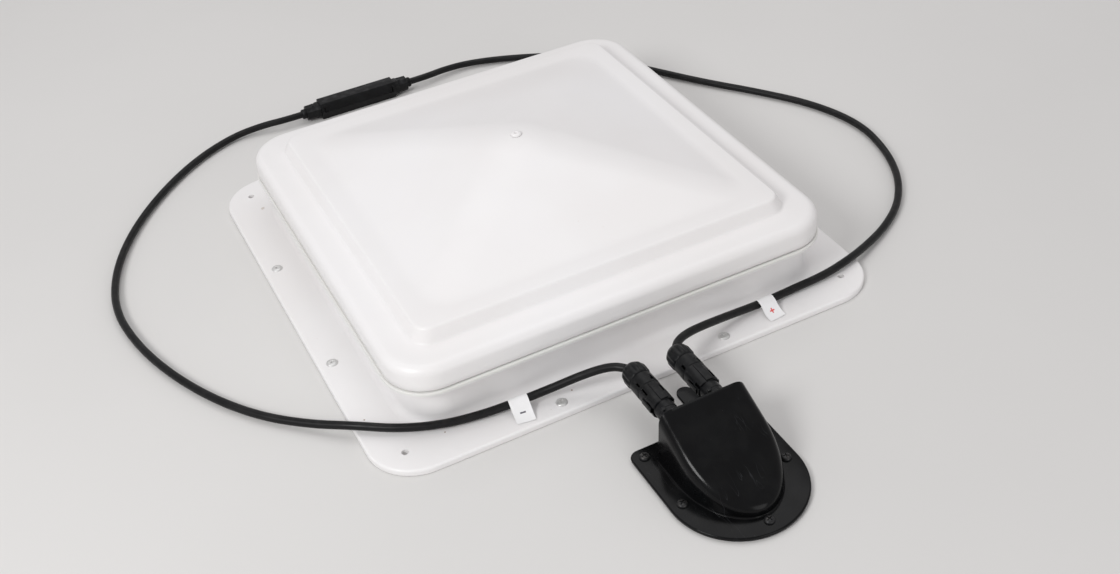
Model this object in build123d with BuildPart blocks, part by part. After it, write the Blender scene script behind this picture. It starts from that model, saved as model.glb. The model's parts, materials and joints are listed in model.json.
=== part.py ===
from build123d import *

import os
from math import atan2, cos, degrees, hypot, pi, radians, sin, tan

# Caravan roof vent with its cable lead set, in millimetres.
# X runs along the front edge, Y to the back where the lid is hinged, Z up from the roof skin.
# The origin is the centre of the four corner screw holes, on the underside of the flange.

os.makedirs("parts", exist_ok=True)

# Shared clearances
overrun = 2.0
slip_gap = 0.05
free_gap = 0.3
bond_gap = 0.1

# Flange and upstand moulding
flange_margin = 40.0
flange_r = 41.0
flange_h = 5.0
flange_skin = 2.2
flange_rim = 3.0
flange_round = 1.8
upstand_w = 370.0
upstand_r = 32.0
upstand_wall = 3.0
upstand_h = 56.0
root_wall = 3.0
cove_r = 7.0
corner_inset = 25.5
corner_hole_d = 5.8
corner_boss_d = 10.0
ledge_reach = 8.0
ledge_z = 13.0
ledge_t = 3.0

# Stiffening frame and the rivets that clamp it
frame_t = 1.5
frame_band = 14.5
frame_inner_r = 6.0
rivet_d = 4.8
rivet_head_d = 9.6
rivet_head_h = 1.5
rivet_head_round = 0.9
rivet_bore_d = 2.7
rivet_bore_depth = 2.4
rivet_tail_d = 7.0
rivet_tail_h = 0.9
rivet_pitch_share = 0.4
rivet_inset = 11.7

# Seal on the upstand
seal_grip_t = 2.4
seal_grip_h = 6.0
seal_cap_t = 2.0
seal_bulb_w = 5.0

# Lid shell
lid_overhang = 8.9
lid_r_growth = 5.0
lid_wall = 2.6
skirt_z = 46.4
ledge_top_z = 67.5
shoulder_r = 8.0
shoulder_w = 27.4
step_rake = 3.3
step_r = 14.0
step_top_z = 79.0
step_round = 2.5
dome_margin = 21.0
dome_r = 23.0
dome_pad_w = 26.0
crown_gap = 16.0
inner_round_min = 1.0

# Lip frame bonded inside the lid
lip_proud = 1.5
lip_h = 2.4
lip_gap = 0.8
lip_round = 0.8
lip_clear = 3.3
lip_wall_t = 2.0
lip_wall_h = 14.0

# Hinges at the back
hinge_reach = 7.1
hinge_z = 46.0
hinge_from_rivet = 36.0
hinge_pin_d = 4.0
hinge_pin_head_d = 6.4
hinge_pin_head_t = 1.2
knuckle_d = 9.0
base_knuckle_w = 16.0
lid_knuckle_w = 8.0
knuckle_gap = 0.4
hinge_plate_w = 40.0
hinge_plate_t = 2.0
hinge_foot_back = 21.0
hinge_foot_front = 5.0
hinge_upright_t = 3.2
hinge_plate_h = 12.0
hinge_plate_z = 49.0
hinge_rivet_z = 57.4
hinge_screw_pitch = 26.0
hinge_screw_back = 13.0
hinge_hole_d = 4.1

# Lift gear: a line through the hinge axis carries the channel, so the lid turns half as far as the arm
line_angle = 13.7
roller_short = 5.0
pivot_drop = 30.0
lid_open_deg = 50.0
channel_w = 22.2
channel_h = 12.8
channel_t = 1.6
channel_slot_w = 7.0
channel_front = 20.0
channel_back = 124.0
spacer_d = 14.0
foot_back = 112.0
foot_front = 94.0
foot_w = 14.0

# Lift arm
arm_t = 3.0
arm_hub_d = 17.0
arm_eye_d = 8.4
arm_waist_w = 8.0
arm_shaft_d = 8.0
arm_collar_d = 12.0
nut_af = 13.0
nut_t = 3.6
roller_pin_d = 4.0
roller_d = 9.0
roller_w = 6.0
roller_gap = 0.5
pin_end_t = 0.8
pin_end_d = 6.0

# Worm gear
gear_module = 1.0
wheel_teeth = 24
wheel_face = 4.0
worm_pitch_r = 5.0
worm_length = 20.0
tooth_backlash = 0.6
tooth_phase_share = 0.5
tooth_rise_share = 0.8
tooth_drop_share = 1.05
tooth_tip_share = 0.55
crank_shaft_d = 6.0

# Gear case on its bridge
case_wall = 2.5
case_side_gap = 2.0
case_round = 3.0
case_cavity_w = 13.0
case_run_gap = 1.2
case_boss_d = 13.0
case_boss_low_z = 10.6
cover_t = 2.5
cover_boss_r = 2.9
cover_screw_d = 2.4
cover_head_d = 4.6
cover_head_h = 1.4
bridge_t = 2.0
bridge_w = 56.0
bridge_turnup = 8.0
bridge_end_gap = 0.6
bridge_screw_inset = 5.0
case_screw_d = 3.0
case_screw_l = 6.0
case_screw_near = -4.0
case_screw_far = 11.0
crank_boss_hole_gap = 0.4

# Crank knob
knob_d = 58.0
knob_z = 1.2
knob_h = 8.0
knob_hub_d = 15.0
knob_round = 2.0
scallop_count = 10
scallop_d = 9.0
scallop_ring_share = 1.12
knob_dish_share = 0.72
knob_dish_depth = 2.5
knob_screw_d = 3.0
knob_screw_head_d = 6.0
knob_screw_head_h = 1.4
knob_screw_l = 6.0

# Insect screen
screen_frame_t = 3.5
screen_frame_band = 12.0
screen_net_t = 0.5
screen_r = 24.0
screen_screw_d = 3.0
screen_screw_inset = 65.0
small_head_d = 6.0
small_head_h = 1.6
grommet_gap = 1.5
net_count = 17
net_wire_w = 1.6
net_ring_w = 3.0

# Cable entry housing, in front of the flange
entry_x = -4.0
entry_gap = 61.5
entry_l = 117.2
entry_half_w = 53.7
entry_corner_r = 8.0
entry_plate_h = 4.0
entry_plate_round = 1.3
gasket_t = 1.0
gasket_inset = 1.0
gasket_band = 12.0
hood_rear_inset = 18.5
hood_nose_inset = 16.2
hood_side_inset = 13.7
hood_corner_r = 11.0
hood_rear_h = 55.0
hood_nose_h = 11.5
hood_taper = 7.0
hood_rim_r = 6.0
hood_wall = 2.6
entry_screw_inset = 9.7
entry_rear_screw_inset = 9.5
entry_mid_screw_inset = 54.2
entry_nose_screw_inset = 10.7
entry_screw_hole_d = 4.4
entry_screw_d = 4.2
entry_head_d = 8.0
entry_head_h = 2.4
entry_head_round = 1.4
tongue_w = 13.0
tongue_t = 3.0
tongue_z = 33.5
tongue_reach = 11.0

# Panel sockets and cable plugs
plug_pitch = 39.0
plug_z = 32.0
socket_face_proud = 1.0
socket_boss_d = 22.0
socket_boss_l = 10.0
socket_shank_d = 12.0
socket_inner_l = 7.0
socket_flange_d = 20.0
socket_flange_t = 3.0
socket_sleeve_d = 16.5
socket_sleeve_l = 17.0
socket_nut_af = 17.0
socket_nut_t = 4.0
plug_nut_l = 16.0
plug_nut_d = 19.4
plug_nut_tip_d = 13.4
plug_mouth_d = 12.0
plug_mouth_floor_d = 8.4
plug_mouth_depth = 4.5
plug_nut_cone_l = 5.0
plug_rib_count = 12
plug_rib_d = 1.6
plug_body_l = 34.0
plug_body_w = 18.6
plug_body_h = 17.0
plug_body_r = 6.0
latch_w = 5.0
latch_t = 1.4
latch_l = 14.0

# Cable, inline fuse holder and paper tags
cable_d = 6.8
holder_left_x = -110.0
holder_y = 312.0
holder_collar_l = 5.0
holder_collar_d = 10.4
holder_cap_l = 15.0
holder_cap_w = 14.4
holder_cap_chamfer = 3.4
holder_body_l = 83.0
holder_body_w = 20.0
holder_body_h = 18.0
holder_flat_w = 13.6
holder_bore_d = 11.2
fuse_d = 10.3
fuse_l = 38.0
fuse_cap_l = 8.0
contact_d = 8.0
tag_w = 15.5
tag_t = 0.5
tag_gap = 1.4
tag_reach = 24.0
tag_drop_gap = 0.35
arc_share = 0.45

# Routes of the two leads, from each plug to the fuse holder
minus_route = [
    (-23.5, -235.5, 32.0), (-28.4, -228.0, 31.8), (-36.0, -222.6, 30.9), (-46.0, -218.2, 28.6),
    (-59.0, -213.4, 24.4), (-73.5, -208.6, 19.2), (-89.0, -203.8, 14.2), (-106.0, -200.2, 10.8),
    (-134.0, -197.6, 9.6), (-166.0, -191.5, 9.6),
    (-197.0, -178.0, 10.2), (-225.0, -158.0, 11.0), (-252.0, -134.0, 6.0), (-283.0, -103.0, 4.2),
    (-311.0, -62.0, 4.0), (-334.0, -12.0, 4.2), (-349.0, 40.0, 4.0), (-355.0, 95.0, 4.2),
    (-343.0, 150.0, 4.0), (-316.0, 204.0, 4.2), (-276.0, 255.0, 4.0), (-229.0, 296.0, 4.2),
    (-183.0, 319.0, 4.4), (-150.0, 317.0, 7.6), (-129.0, 312.0, 9.0), (-110.0, 312.0, 9.0),
]
plus_route = [
    (15.5, -235.5, 32.0), (20.4, -228.0, 31.8), (28.0, -222.6, 31.2), (38.5, -218.6, 29.8),
    (52.0, -214.8, 26.8), (67.0, -210.6, 22.6), (83.0, -206.2, 18.0), (100.0, -202.4, 13.6),
    (120.0, -199.6, 10.4), (152.0, -197.0, 9.6),
    (186.0, -196.0, 10.0), (214.0, -190.5, 11.0), (240.0, -179.0, 6.6), (272.0, -164.0, 4.2),
    (305.0, -142.0, 4.0), (333.0, -108.0, 4.2), (352.0, -64.0, 4.0), (360.0, -13.0, 4.2),
    (344.0, 43.0, 4.0), (312.0, 93.0, 4.2), (277.0, 141.0, 4.0), (246.0, 190.0, 4.2),
    (216.0, 240.0, 4.0), (174.0, 281.0, 4.2), (124.0, 308.0, 4.0), (84.0, 320.0, 5.0),
    (54.0, 317.0, 7.8), (33.0, 312.0, 9.0), (13.0, 312.0, 9.0),
]
minus_tag_at = 93.0
plus_tag_at = 116.5

# Values that follow from the ones above
flange_w = upstand_w + 2 * flange_margin
corner_pitch = flange_w - 2 * corner_inset
rivet_pitch = upstand_w * rivet_pitch_share
rivet_line = flange_w - 2 * rivet_inset
lid_w = upstand_w + 2 * lid_overhang
lid_r = upstand_r + lid_r_growth
step_w = lid_w - 2 * shoulder_w
step_top_w = step_w - 2 * step_rake
dome_w = step_top_w - 2 * dome_margin
lip_w = lid_w + 2 * lip_proud
lip_inner_w = upstand_w + 2 * lip_clear
hinge_y = lid_w / 2 + hinge_reach
hinge_pitch = rivet_pitch + 2 * hinge_from_rivet
roller_reach = hinge_y - roller_short
channel_near = roller_reach - channel_back
channel_far = roller_reach + channel_front
foot_from = roller_reach - foot_back
foot_to = roller_reach - foot_front
screen_screw_pitch = upstand_w - 2 * screen_screw_inset
entry_rear_y = -flange_w / 2 - entry_gap
entry_nose_y = entry_rear_y - entry_l
hood_rear_y = entry_rear_y - hood_rear_inset
hood_nose_y = entry_nose_y + hood_nose_inset
hood_half_w = entry_half_w - hood_side_inset
entry_screw_pitch = 2 * (entry_half_w - entry_screw_inset)
entry_rear_screw_y = entry_rear_y - entry_rear_screw_inset
entry_mid_screw_y = entry_nose_y + entry_mid_screw_inset
entry_nose_screw_y = entry_nose_y + entry_nose_screw_inset
tongue_end_y = entry_rear_y + tongue_reach
socket_face_y = hood_rear_y + socket_face_proud
plug_face_y = socket_face_y + socket_flange_t + socket_sleeve_l
plug_nut_end_y = plug_face_y + plug_body_l + plug_nut_l
flange_under = flange_h - flange_skin
upstand_inner_w = upstand_w - 2 * upstand_wall
upstand_inner_r = upstand_r - upstand_wall
ledge_w = upstand_inner_w - 2 * ledge_reach
recess_outer_w = flange_w - 2 * flange_rim
recess_outer_r = flange_r - flange_rim
recess_inner_w = upstand_w + 2 * root_wall
recess_inner_r = upstand_r + root_wall
frame_outer_w = recess_outer_w - 2 * free_gap
frame_outer_r = recess_outer_r - free_gap
frame_inner_w = frame_outer_w - 2 * frame_band
ledge_top = ledge_z + ledge_t
beta = radians(line_angle)
arm_length = hypot(roller_reach / 2, pivot_drop)
pivot_y = hinge_y - roller_reach / 2 * cos(beta) - pivot_drop * sin(beta)
pivot_z = hinge_z + roller_reach / 2 * sin(beta) - pivot_drop * cos(beta)
dome_top_z = hinge_z + hinge_y * tan(beta) + crown_gap
roller_y = hinge_y - roller_reach * cos(beta)
roller_z = hinge_z + roller_reach * sin(beta)
wheel_pitch_r = gear_module * wheel_teeth / 2
worm_lead = pi * gear_module
worm_y = pivot_y - wheel_pitch_r - worm_pitch_r
case_x = arm_t / 2 + case_side_gap
worm_x = case_x + case_wall + case_cavity_w / 2
case_front_y = worm_y - worm_pitch_r - gear_module - case_run_gap
case_back_y = pivot_y + wheel_pitch_r + gear_module + case_run_gap
case_top_z = pivot_z + wheel_pitch_r + gear_module + case_run_gap
case_floor_z = pivot_z - wheel_pitch_r - gear_module - case_run_gap
bridge_top = ledge_top + bridge_t
holder_z = holder_body_h / 2
cable_r = cable_d / 2
print("lift arm length", round(arm_length, 2), "pivot", round(pivot_y, 2), round(pivot_z, 2))
print("roller at rest", round(roller_y, 2), round(roller_z, 2), "worm at", round(worm_x, 2), round(worm_y, 2))


# Outlines that several pieces share
def rounded_square(width, radius, height):
    with BuildSketch(Plane.XY.offset(height)) as outline:
        RectangleRounded(width, width, radius)
    return outline.sketch


def square_ring(outer_w, outer_r, inner_w, inner_r, height):
    with BuildSketch(Plane.XY.offset(height)) as outline:
        RectangleRounded(outer_w, outer_w, outer_r)
        RectangleRounded(inner_w, inner_w, inner_r, mode=Mode.SUBTRACT)
    return outline.sketch


def entry_outline(half_w, rear_y, nose_y, corner_r, height):
    nose_c = nose_y + half_w
    with BuildSketch(Plane.XY.offset(height)) as outline:
        with Locations((entry_x, (rear_y + nose_c) / 2)):
            Rectangle(2 * half_w, rear_y - nose_c)
        fillet(outline.vertices().group_by(Axis.Y)[-1], corner_r)
        with Locations((entry_x, nose_c)):
            Circle(half_w)
    return outline.sketch


# Fasteners stand on the plane z = 0 with the head above and the shank below
def screw_form(head_d, head_h, head_round, shank_d, shank_l):
    with BuildPart() as form:
        with BuildSketch() as head:
            Circle(head_d / 2)
        extrude(amount=head_h)
        fillet(form.edges().group_by(Axis.Z)[-1], head_round)
        with BuildSketch() as shank:
            Circle(shank_d / 2)
        extrude(amount=-shank_l)
    return form.part


def rivet_form(grip):
    with BuildPart() as form:
        with BuildSketch() as head:
            Circle(rivet_head_d / 2)
        extrude(amount=rivet_head_h)
        fillet(form.edges().group_by(Axis.Z)[-1], rivet_head_round)
        with BuildSketch() as shank:
            Circle(rivet_d / 2)
        extrude(amount=-grip)
        with BuildSketch(Plane.XY.offset(-grip)) as tail:
            Circle(rivet_tail_d / 2)
        extrude(amount=-rivet_tail_h)
        with Locations((0, 0, rivet_head_h)):
            Hole(rivet_bore_d / 2, rivet_bore_depth)
    return form.part


def rivet_places():
    return (GridLocations(rivet_pitch, rivet_line, 2, 2).locations
            + GridLocations(rivet_line, rivet_pitch, 2, 2).locations)


def hinge_screw_places(height):
    return [Location((side * hinge_pitch / 2 + along * hinge_screw_pitch / 2,
                      hinge_y + hinge_screw_back, height))
            for side in (-1, 1) for along in (-1, 1)]


def screen_screw_places(height):
    line = (ledge_w + screen_frame_outer_w) / 2
    flat = (GridLocations(screen_screw_pitch, line, 2, 2).locations
            + GridLocations(line, screen_screw_pitch, 2, 2).locations)
    return [Location((0, 0, height)) * place for place in flat]


def bridge_screw_places(height):
    reach = upstand_inner_w / 2 - bridge_screw_inset
    return [Location((side * reach, bridge_y + along * bridge_w / 4, height))
            for side in (-1, 1) for along in (-1, 1)]


screen_frame_outer_w = upstand_inner_w - 2 * free_gap
bridge_y = (case_front_y + case_back_y) / 2

# Flange and upstand: one vacuum-formed moulding with a rim, a recess below and an inner ledge
with BuildPart() as base_flange:
    extrude(rounded_square(flange_w, flange_r, 0), amount=flange_h)
    fillet(base_flange.edges().group_by(Axis.Z)[-1], flange_round)
    extrude(rounded_square(upstand_w, upstand_r, 0), amount=upstand_h)
    cove_edges = [edge for edge in base_flange.edges().filter_by_position(Axis.Z, flange_h, flange_h)
                  if max(abs(edge.center().X), abs(edge.center().Y)) <= upstand_w / 2]
    fillet(cove_edges, cove_r)
    extrude(rounded_square(upstand_inner_w, upstand_inner_r, 0), amount=upstand_h, mode=Mode.SUBTRACT)
    extrude(square_ring(recess_outer_w, recess_outer_r, recess_inner_w, recess_inner_r, 0),
            amount=flange_under, mode=Mode.SUBTRACT)
    extrude(square_ring(upstand_inner_w, upstand_inner_r, ledge_w, screen_r, ledge_z), amount=ledge_t)
    with BuildSketch() as corner_bosses:
        with GridLocations(corner_pitch, corner_pitch, 2, 2):
            Circle(corner_boss_d / 2)
    extrude(amount=flange_under)
    with GridLocations(corner_pitch, corner_pitch, 2, 2):
        Hole(corner_hole_d / 2)
    with Locations(*rivet_places()):
        Hole(rivet_d / 2 + slip_gap)
    with Locations(*hinge_screw_places(flange_h)):
        Hole(hinge_hole_d / 2, flange_h)
    with Locations(*screen_screw_places(ledge_top)):
        Hole(screen_screw_d / 2 + slip_gap, ledge_t)
    with Locations(*bridge_screw_places(ledge_top)):
        Hole(case_screw_d / 2 + slip_gap, ledge_t)
base_flange.part.label = "base_flange"
export_step(base_flange.part, "parts/base_flange.step")

# Flat frame that stiffens the flange from below
with BuildPart() as stiffening_frame:
    extrude(square_ring(frame_outer_w, frame_outer_r, frame_inner_w, frame_inner_r, flange_under - frame_t),
            amount=frame_t)
    with Locations(*rivet_places()):
        Hole(rivet_d / 2 + slip_gap)
    with Locations(*hinge_screw_places(flange_h)):
        Hole(hinge_hole_d / 2, flange_h)
stiffening_frame.part.label = "stiffening_frame"
export_step(stiffening_frame.part, "parts/stiffening_frame.step")

# Eight blind rivets, two on each side of the flange
flange_rivet = rivet_form(flange_skin + frame_t)
with BuildPart() as flange_rivets:
    with Locations(*[Location((0, 0, flange_h)) * place for place in rivet_places()]):
        add(flange_rivet)
flange_rivets.part.label = "flange_rivets"
export_step(flange_rivets.part, "parts/flange_rivets.step")

# Rubber seal that grips the top of the upstand and meets the lid
grip_w = upstand_w + 2 * (seal_grip_t + bond_gap)
grip_r = upstand_r + seal_grip_t + bond_gap
grip_inner_w = upstand_inner_w - 2 * (seal_grip_t + bond_gap)
grip_inner_r = upstand_inner_r - seal_grip_t - bond_gap
seal_mid_w = upstand_w - upstand_wall
seal_mid_r = upstand_r - upstand_wall / 2
seal_top_z = ledge_top_z - lid_wall - free_gap
with BuildPart() as upstand_seal:
    extrude(square_ring(grip_w, grip_r, grip_inner_w, grip_inner_r, upstand_h - seal_grip_h),
            amount=seal_grip_h + seal_cap_t)
    extrude(square_ring(upstand_w + 2 * bond_gap, upstand_r + bond_gap, upstand_inner_w - 2 * bond_gap,
                        upstand_inner_r - bond_gap, upstand_h - seal_grip_h),
            amount=seal_grip_h, mode=Mode.SUBTRACT)
    extrude(square_ring(seal_mid_w + seal_bulb_w, seal_mid_r + seal_bulb_w / 2,
                        seal_mid_w - seal_bulb_w, seal_mid_r - seal_bulb_w / 2, upstand_h + seal_cap_t),
            amount=seal_top_z - upstand_h - seal_cap_t)
upstand_seal.part.label = "upstand_seal"
export_step(upstand_seal.part, "parts/upstand_seal.step")


# Lid form: skirt and shoulder, a step, and a shallow four-sided dome with a small flat pad on top
def lid_form(inset, floor_z):
    with BuildPart() as form:
        extrude(rounded_square(lid_w - 2 * inset, lid_r - inset, floor_z),
                amount=ledge_top_z - inset - floor_z)
        fillet(form.edges().group_by(Axis.Z)[-1], max(shoulder_r - inset, inner_round_min))
    with BuildPart() as riser:
        loft([rounded_square(step_w - 2 * inset, step_r - inset, ledge_top_z - inset),
              rounded_square(step_top_w - 2 * inset, step_r - inset, step_top_z - inset)])
        fillet(riser.edges().group_by(Axis.Z)[-1], step_round)
    with BuildPart() as dome:
        loft([rounded_square(dome_w, dome_r, step_top_z - inset),
              rounded_square(dome_pad_w, dome_pad_w / 2 - slip_gap, dome_top_z - inset)])
    with BuildPart() as whole:
        add(form.part)
        add(riser.part)
        add(dome.part)
    return whole.part


with BuildPart() as lid_shell:
    add(lid_form(0, skirt_z))
    add(lid_form(lid_wall, skirt_z - overrun), mode=Mode.SUBTRACT)
    Hole(rivet_d / 2 + slip_gap)
    for side in (-1, 1):
        for along in (-1, 1):
            with Locations(Plane(origin=(side * hinge_pitch / 2 + along * hinge_screw_pitch / 2,
                                         lid_w / 2, hinge_rivet_z),
                                 x_dir=(1, 0, 0), z_dir=(0, 1, 0))):
                Hole(hinge_hole_d / 2, lid_wall + overrun)
lid_shell.part.label = "lid_shell"
export_step(lid_shell.part, "parts/lid_shell.step")

# Lip frame: a thin proud lip under the skirt, and a wall bonded inside the skirt
lip_top = skirt_z - lip_gap
lip_wall_outer_w = lid_w - 2 * lid_wall - 2 * bond_gap
lip_wall_outer_r = lid_r - lid_wall - bond_gap
with BuildPart() as lid_frame:
    extrude(rounded_square(lip_w, lid_r + (lip_w - lid_w) / 2, lip_top - lip_h), amount=lip_h)
    fillet(lid_frame.edges().group_by(Axis.Z)[-1], lip_round)
    extrude(rounded_square(lip_wall_outer_w, lip_wall_outer_r, lip_top), amount=lip_wall_h)
    extrude(rounded_square(lip_inner_w, lid_r - (lid_w - lip_inner_w) / 2, lip_top - lip_h - overrun),
            amount=lip_h + lip_wall_h + 2 * overrun, mode=Mode.SUBTRACT)
    extrude(rounded_square(lip_wall_outer_w - 2 * lip_wall_t, lip_wall_outer_r - lip_wall_t, lip_top),
            amount=lip_wall_h + overrun, mode=Mode.SUBTRACT)
    for side in (-1, 1):
        for along in (-1, 1):
            with Locations(Plane(origin=(side * hinge_pitch / 2 + along * hinge_screw_pitch / 2,
                                         lid_w / 2, hinge_rivet_z),
                                 x_dir=(1, 0, 0), z_dir=(0, 1, 0))):
                Hole(hinge_hole_d / 2, lid_w / 2 - lip_inner_w / 2 + overrun)
lid_frame.part.label = "lid_frame"
export_step(lid_frame.part, "parts/lid_frame.step")

# Hinge leaves on the flange: a foot plate, an upright and a knuckle between the lid's two
with BuildPart() as hinge_base_leaves:
    for side in (-1, 1):
        middle = side * hinge_pitch / 2
        foot_y = hinge_y + (hinge_foot_back - hinge_foot_front) / 2
        with BuildSketch(Plane.XY.offset(flange_h)) as foot:
            with Locations((middle, foot_y)):
                Rectangle(hinge_plate_w, hinge_foot_back + hinge_foot_front)
            with Locations((middle - hinge_screw_pitch / 2, hinge_y + hinge_screw_back),
                           (middle + hinge_screw_pitch / 2, hinge_y + hinge_screw_back)):
                Circle(hinge_hole_d / 2, mode=Mode.SUBTRACT)
        extrude(amount=hinge_plate_t)
        with BuildSketch(Plane.YZ.offset(middle - base_knuckle_w / 2)) as upright:
            with Locations((hinge_y, (flange_h + hinge_z) / 2)):
                Rectangle(hinge_upright_t, hinge_z - flange_h)
            with Locations((hinge_y, hinge_z)):
                Circle(knuckle_d / 2)
                Circle(hinge_pin_d / 2 + slip_gap, mode=Mode.SUBTRACT)
        extrude(amount=base_knuckle_w)
hinge_base_leaves.part.label = "hinge_base_leaves"
export_step(hinge_base_leaves.part, "parts/hinge_base_leaves.step")

# Hinge leaves on the back of the skirt, each with two knuckles
with BuildPart() as hinge_lid_leaves:
    for side in (-1, 1):
        middle = side * hinge_pitch / 2
        with BuildSketch(Plane.XZ.offset(-lid_w / 2)) as plate:
            with Locations((middle, hinge_plate_z + hinge_plate_h / 2)):
                Rectangle(hinge_plate_w, hinge_plate_h)
            with Locations((middle - hinge_screw_pitch / 2, hinge_rivet_z),
                           (middle + hinge_screw_pitch / 2, hinge_rivet_z)):
                Circle(hinge_hole_d / 2, mode=Mode.SUBTRACT)
        extrude(amount=-hinge_plate_t)
        for end in (-1, 1):
            inner = base_knuckle_w / 2 + knuckle_gap
            start = middle + (inner if end > 0 else -inner - lid_knuckle_w)
            with BuildSketch(Plane.YZ.offset(start)) as knuckle:
                with BuildLine() as web:
                    Polyline((lid_w / 2, hinge_plate_z), (lid_w / 2, hinge_plate_z + knuckle_d / 2),
                             (lid_w / 2 + hinge_plate_t, hinge_plate_z + knuckle_d / 2),
                             (hinge_y + knuckle_d / 2 * cos(pi / 4), hinge_z + knuckle_d / 2 * sin(pi / 4)),
                             (hinge_y, hinge_z), (hinge_y - knuckle_d / 2, hinge_z),
                             (lid_w / 2, hinge_plate_z), close=False)
                make_face()
                with Locations((hinge_y, hinge_z)):
                    Circle(knuckle_d / 2)
                    Circle(hinge_pin_d / 2 + slip_gap, mode=Mode.SUBTRACT)
            extrude(amount=lid_knuckle_w)
hinge_lid_leaves.part.label = "hinge_lid_leaves"
export_step(hinge_lid_leaves.part, "parts/hinge_lid_leaves.step")

# Hinge pins with a flat head at both ends
pin_span = base_knuckle_w + 2 * lid_knuckle_w + 4 * knuckle_gap
with BuildPart() as hinge_pins:
    for side in (-1, 1):
        start = side * hinge_pitch / 2 - pin_span / 2
        with BuildSketch(Plane.YZ.offset(start)) as shank:
            with Locations((hinge_y, hinge_z)):
                Circle(hinge_pin_d / 2)
        extrude(amount=pin_span)
        for face_x in (start - hinge_pin_head_t, start + pin_span):
            with BuildSketch(Plane.YZ.offset(face_x)) as head:
                with Locations((hinge_y, hinge_z)):
                    Circle(hinge_pin_head_d / 2)
            extrude(amount=hinge_pin_head_t)
hinge_pins.part.label = "hinge_pins"
export_step(hinge_pins.part, "parts/hinge_pins.step")

hinge_screw = screw_form(small_head_d, small_head_h, small_head_h / 2, hinge_hole_d - 2 * slip_gap,
                         hinge_plate_t + flange_skin + frame_t + rivet_tail_h / 2)
with BuildPart() as hinge_base_screws:
    with Locations(*hinge_screw_places(flange_h + hinge_plate_t)):
        add(hinge_screw)
hinge_base_screws.part.label = "hinge_base_screws"
export_step(hinge_base_screws.part, "parts/hinge_base_screws.step")

lid_rivet = screw_form(small_head_d, small_head_h, small_head_h / 2, hinge_hole_d - 2 * slip_gap,
                       hinge_plate_t + lid_wall + bond_gap + lip_wall_t)
with BuildPart() as hinge_lid_rivets:
    for side in (-1, 1):
        for along in (-1, 1):
            with Locations(Plane(origin=(side * hinge_pitch / 2 + along * hinge_screw_pitch / 2,
                                         lid_w / 2 + hinge_plate_t, hinge_rivet_z),
                                 x_dir=(1, 0, 0), z_dir=(0, 1, 0))):
                add(lid_rivet)
hinge_lid_rivets.part.label = "hinge_lid_rivets"
export_step(hinge_lid_rivets.part, "parts/hinge_lid_rivets.step")

# Lift channel under the lid, on a plane square to the line through the hinge axis
line_plane = Plane(origin=(0, hinge_y, hinge_z), x_dir=(1, 0, 0), z_dir=(0, -cos(beta), sin(beta)))
web_top = channel_h / 2
dome_slope = atan2(dome_top_z - step_top_z, dome_w / 2 - dome_pad_w / 2)
dome_under = Plane(origin=(0, dome_pad_w / 2, dome_top_z - lid_wall - bond_gap), x_dir=(1, 0, 0),
                   z_dir=(0, sin(dome_slope), cos(dome_slope)))
channel_top = Plane(origin=(0, hinge_y + web_top * sin(beta), hinge_z + web_top * cos(beta)),
                    x_dir=(1, 0, 0), z_dir=(0, sin(beta), cos(beta)))
with BuildPart() as foot_block:
    foot_near_y = hinge_y - foot_to * cos(beta)
    foot_far_y = hinge_y - foot_from * cos(beta)
    with BuildSketch(Plane.XY.offset(hinge_z)) as foot_outline:
        with Locations((0, (foot_near_y + foot_far_y) / 2)):
            Rectangle(foot_w, foot_far_y - foot_near_y)
    extrude(amount=dome_top_z - hinge_z)
    split(bisect_by=channel_top, keep=Keep.TOP)
    split(bisect_by=dome_under, keep=Keep.BOTTOM)
with BuildPart() as spacer_block:
    with BuildSketch(Plane.XY.offset(hinge_z)) as spacer_outline:
        Circle(spacer_d / 2)
    extrude(amount=dome_top_z - lid_wall - hinge_z)
    split(bisect_by=channel_top, keep=Keep.TOP)
with BuildPart() as lift_channel:
    with BuildSketch(line_plane.offset(channel_near)) as channel_profile:
        Rectangle(channel_w, channel_h)
        Rectangle(channel_w - 2 * channel_t, channel_h - 2 * channel_t, mode=Mode.SUBTRACT)
        with Locations((0, -channel_h / 2)):
            Rectangle(channel_slot_w, 2 * channel_t + overrun, mode=Mode.SUBTRACT)
    extrude(amount=channel_far - channel_near)
    add(foot_block.part)
    add(spacer_block.part)
    Hole(rivet_d / 2 + slip_gap)
lift_channel.part.label = "lift_channel"
export_step(lift_channel.part, "parts/lift_channel.step")

# Rivet at the middle of the lid, down through the spacer into the channel's web
web_under_z = hinge_z + hinge_y * tan(beta) + (channel_h / 2 - channel_t) / cos(beta)
centre_grip = dome_top_z - web_under_z + rivet_tail_d / 2 * tan(beta)
with BuildPart() as centre_rivet:
    with Locations((0, 0, dome_top_z)):
        add(rivet_form(centre_grip))
centre_rivet.part.label = "centre_rivet"
export_step(centre_rivet.part, "parts/centre_rivet.step")

# Lift arm from the pivot shaft to the rollers
arm_tilt = atan2(roller_z - pivot_z, roller_y - pivot_y)
with BuildPart() as lift_arm:
    with BuildSketch(Plane.YZ.offset(-arm_t / 2)) as arm_outline:
        with Locations((pivot_y, pivot_z)):
            Circle(arm_hub_d / 2)
        with Locations((roller_y, roller_z)):
            Circle(arm_eye_d / 2)
        with Locations(Location(((pivot_y + roller_y) / 2, (pivot_z + roller_z) / 2, 0),
                                (0, 0, degrees(arm_tilt)))):
            Rectangle(arm_length, arm_waist_w)
        with Locations((pivot_y, pivot_z)):
            Circle(arm_shaft_d / 2 + slip_gap, mode=Mode.SUBTRACT)
        with Locations((roller_y, roller_z)):
            Circle(roller_pin_d / 2 + slip_gap, mode=Mode.SUBTRACT)
    extrude(amount=arm_t)
lift_arm.part.label = "lift_arm"
export_step(lift_arm.part, "parts/lift_arm.step")

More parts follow.
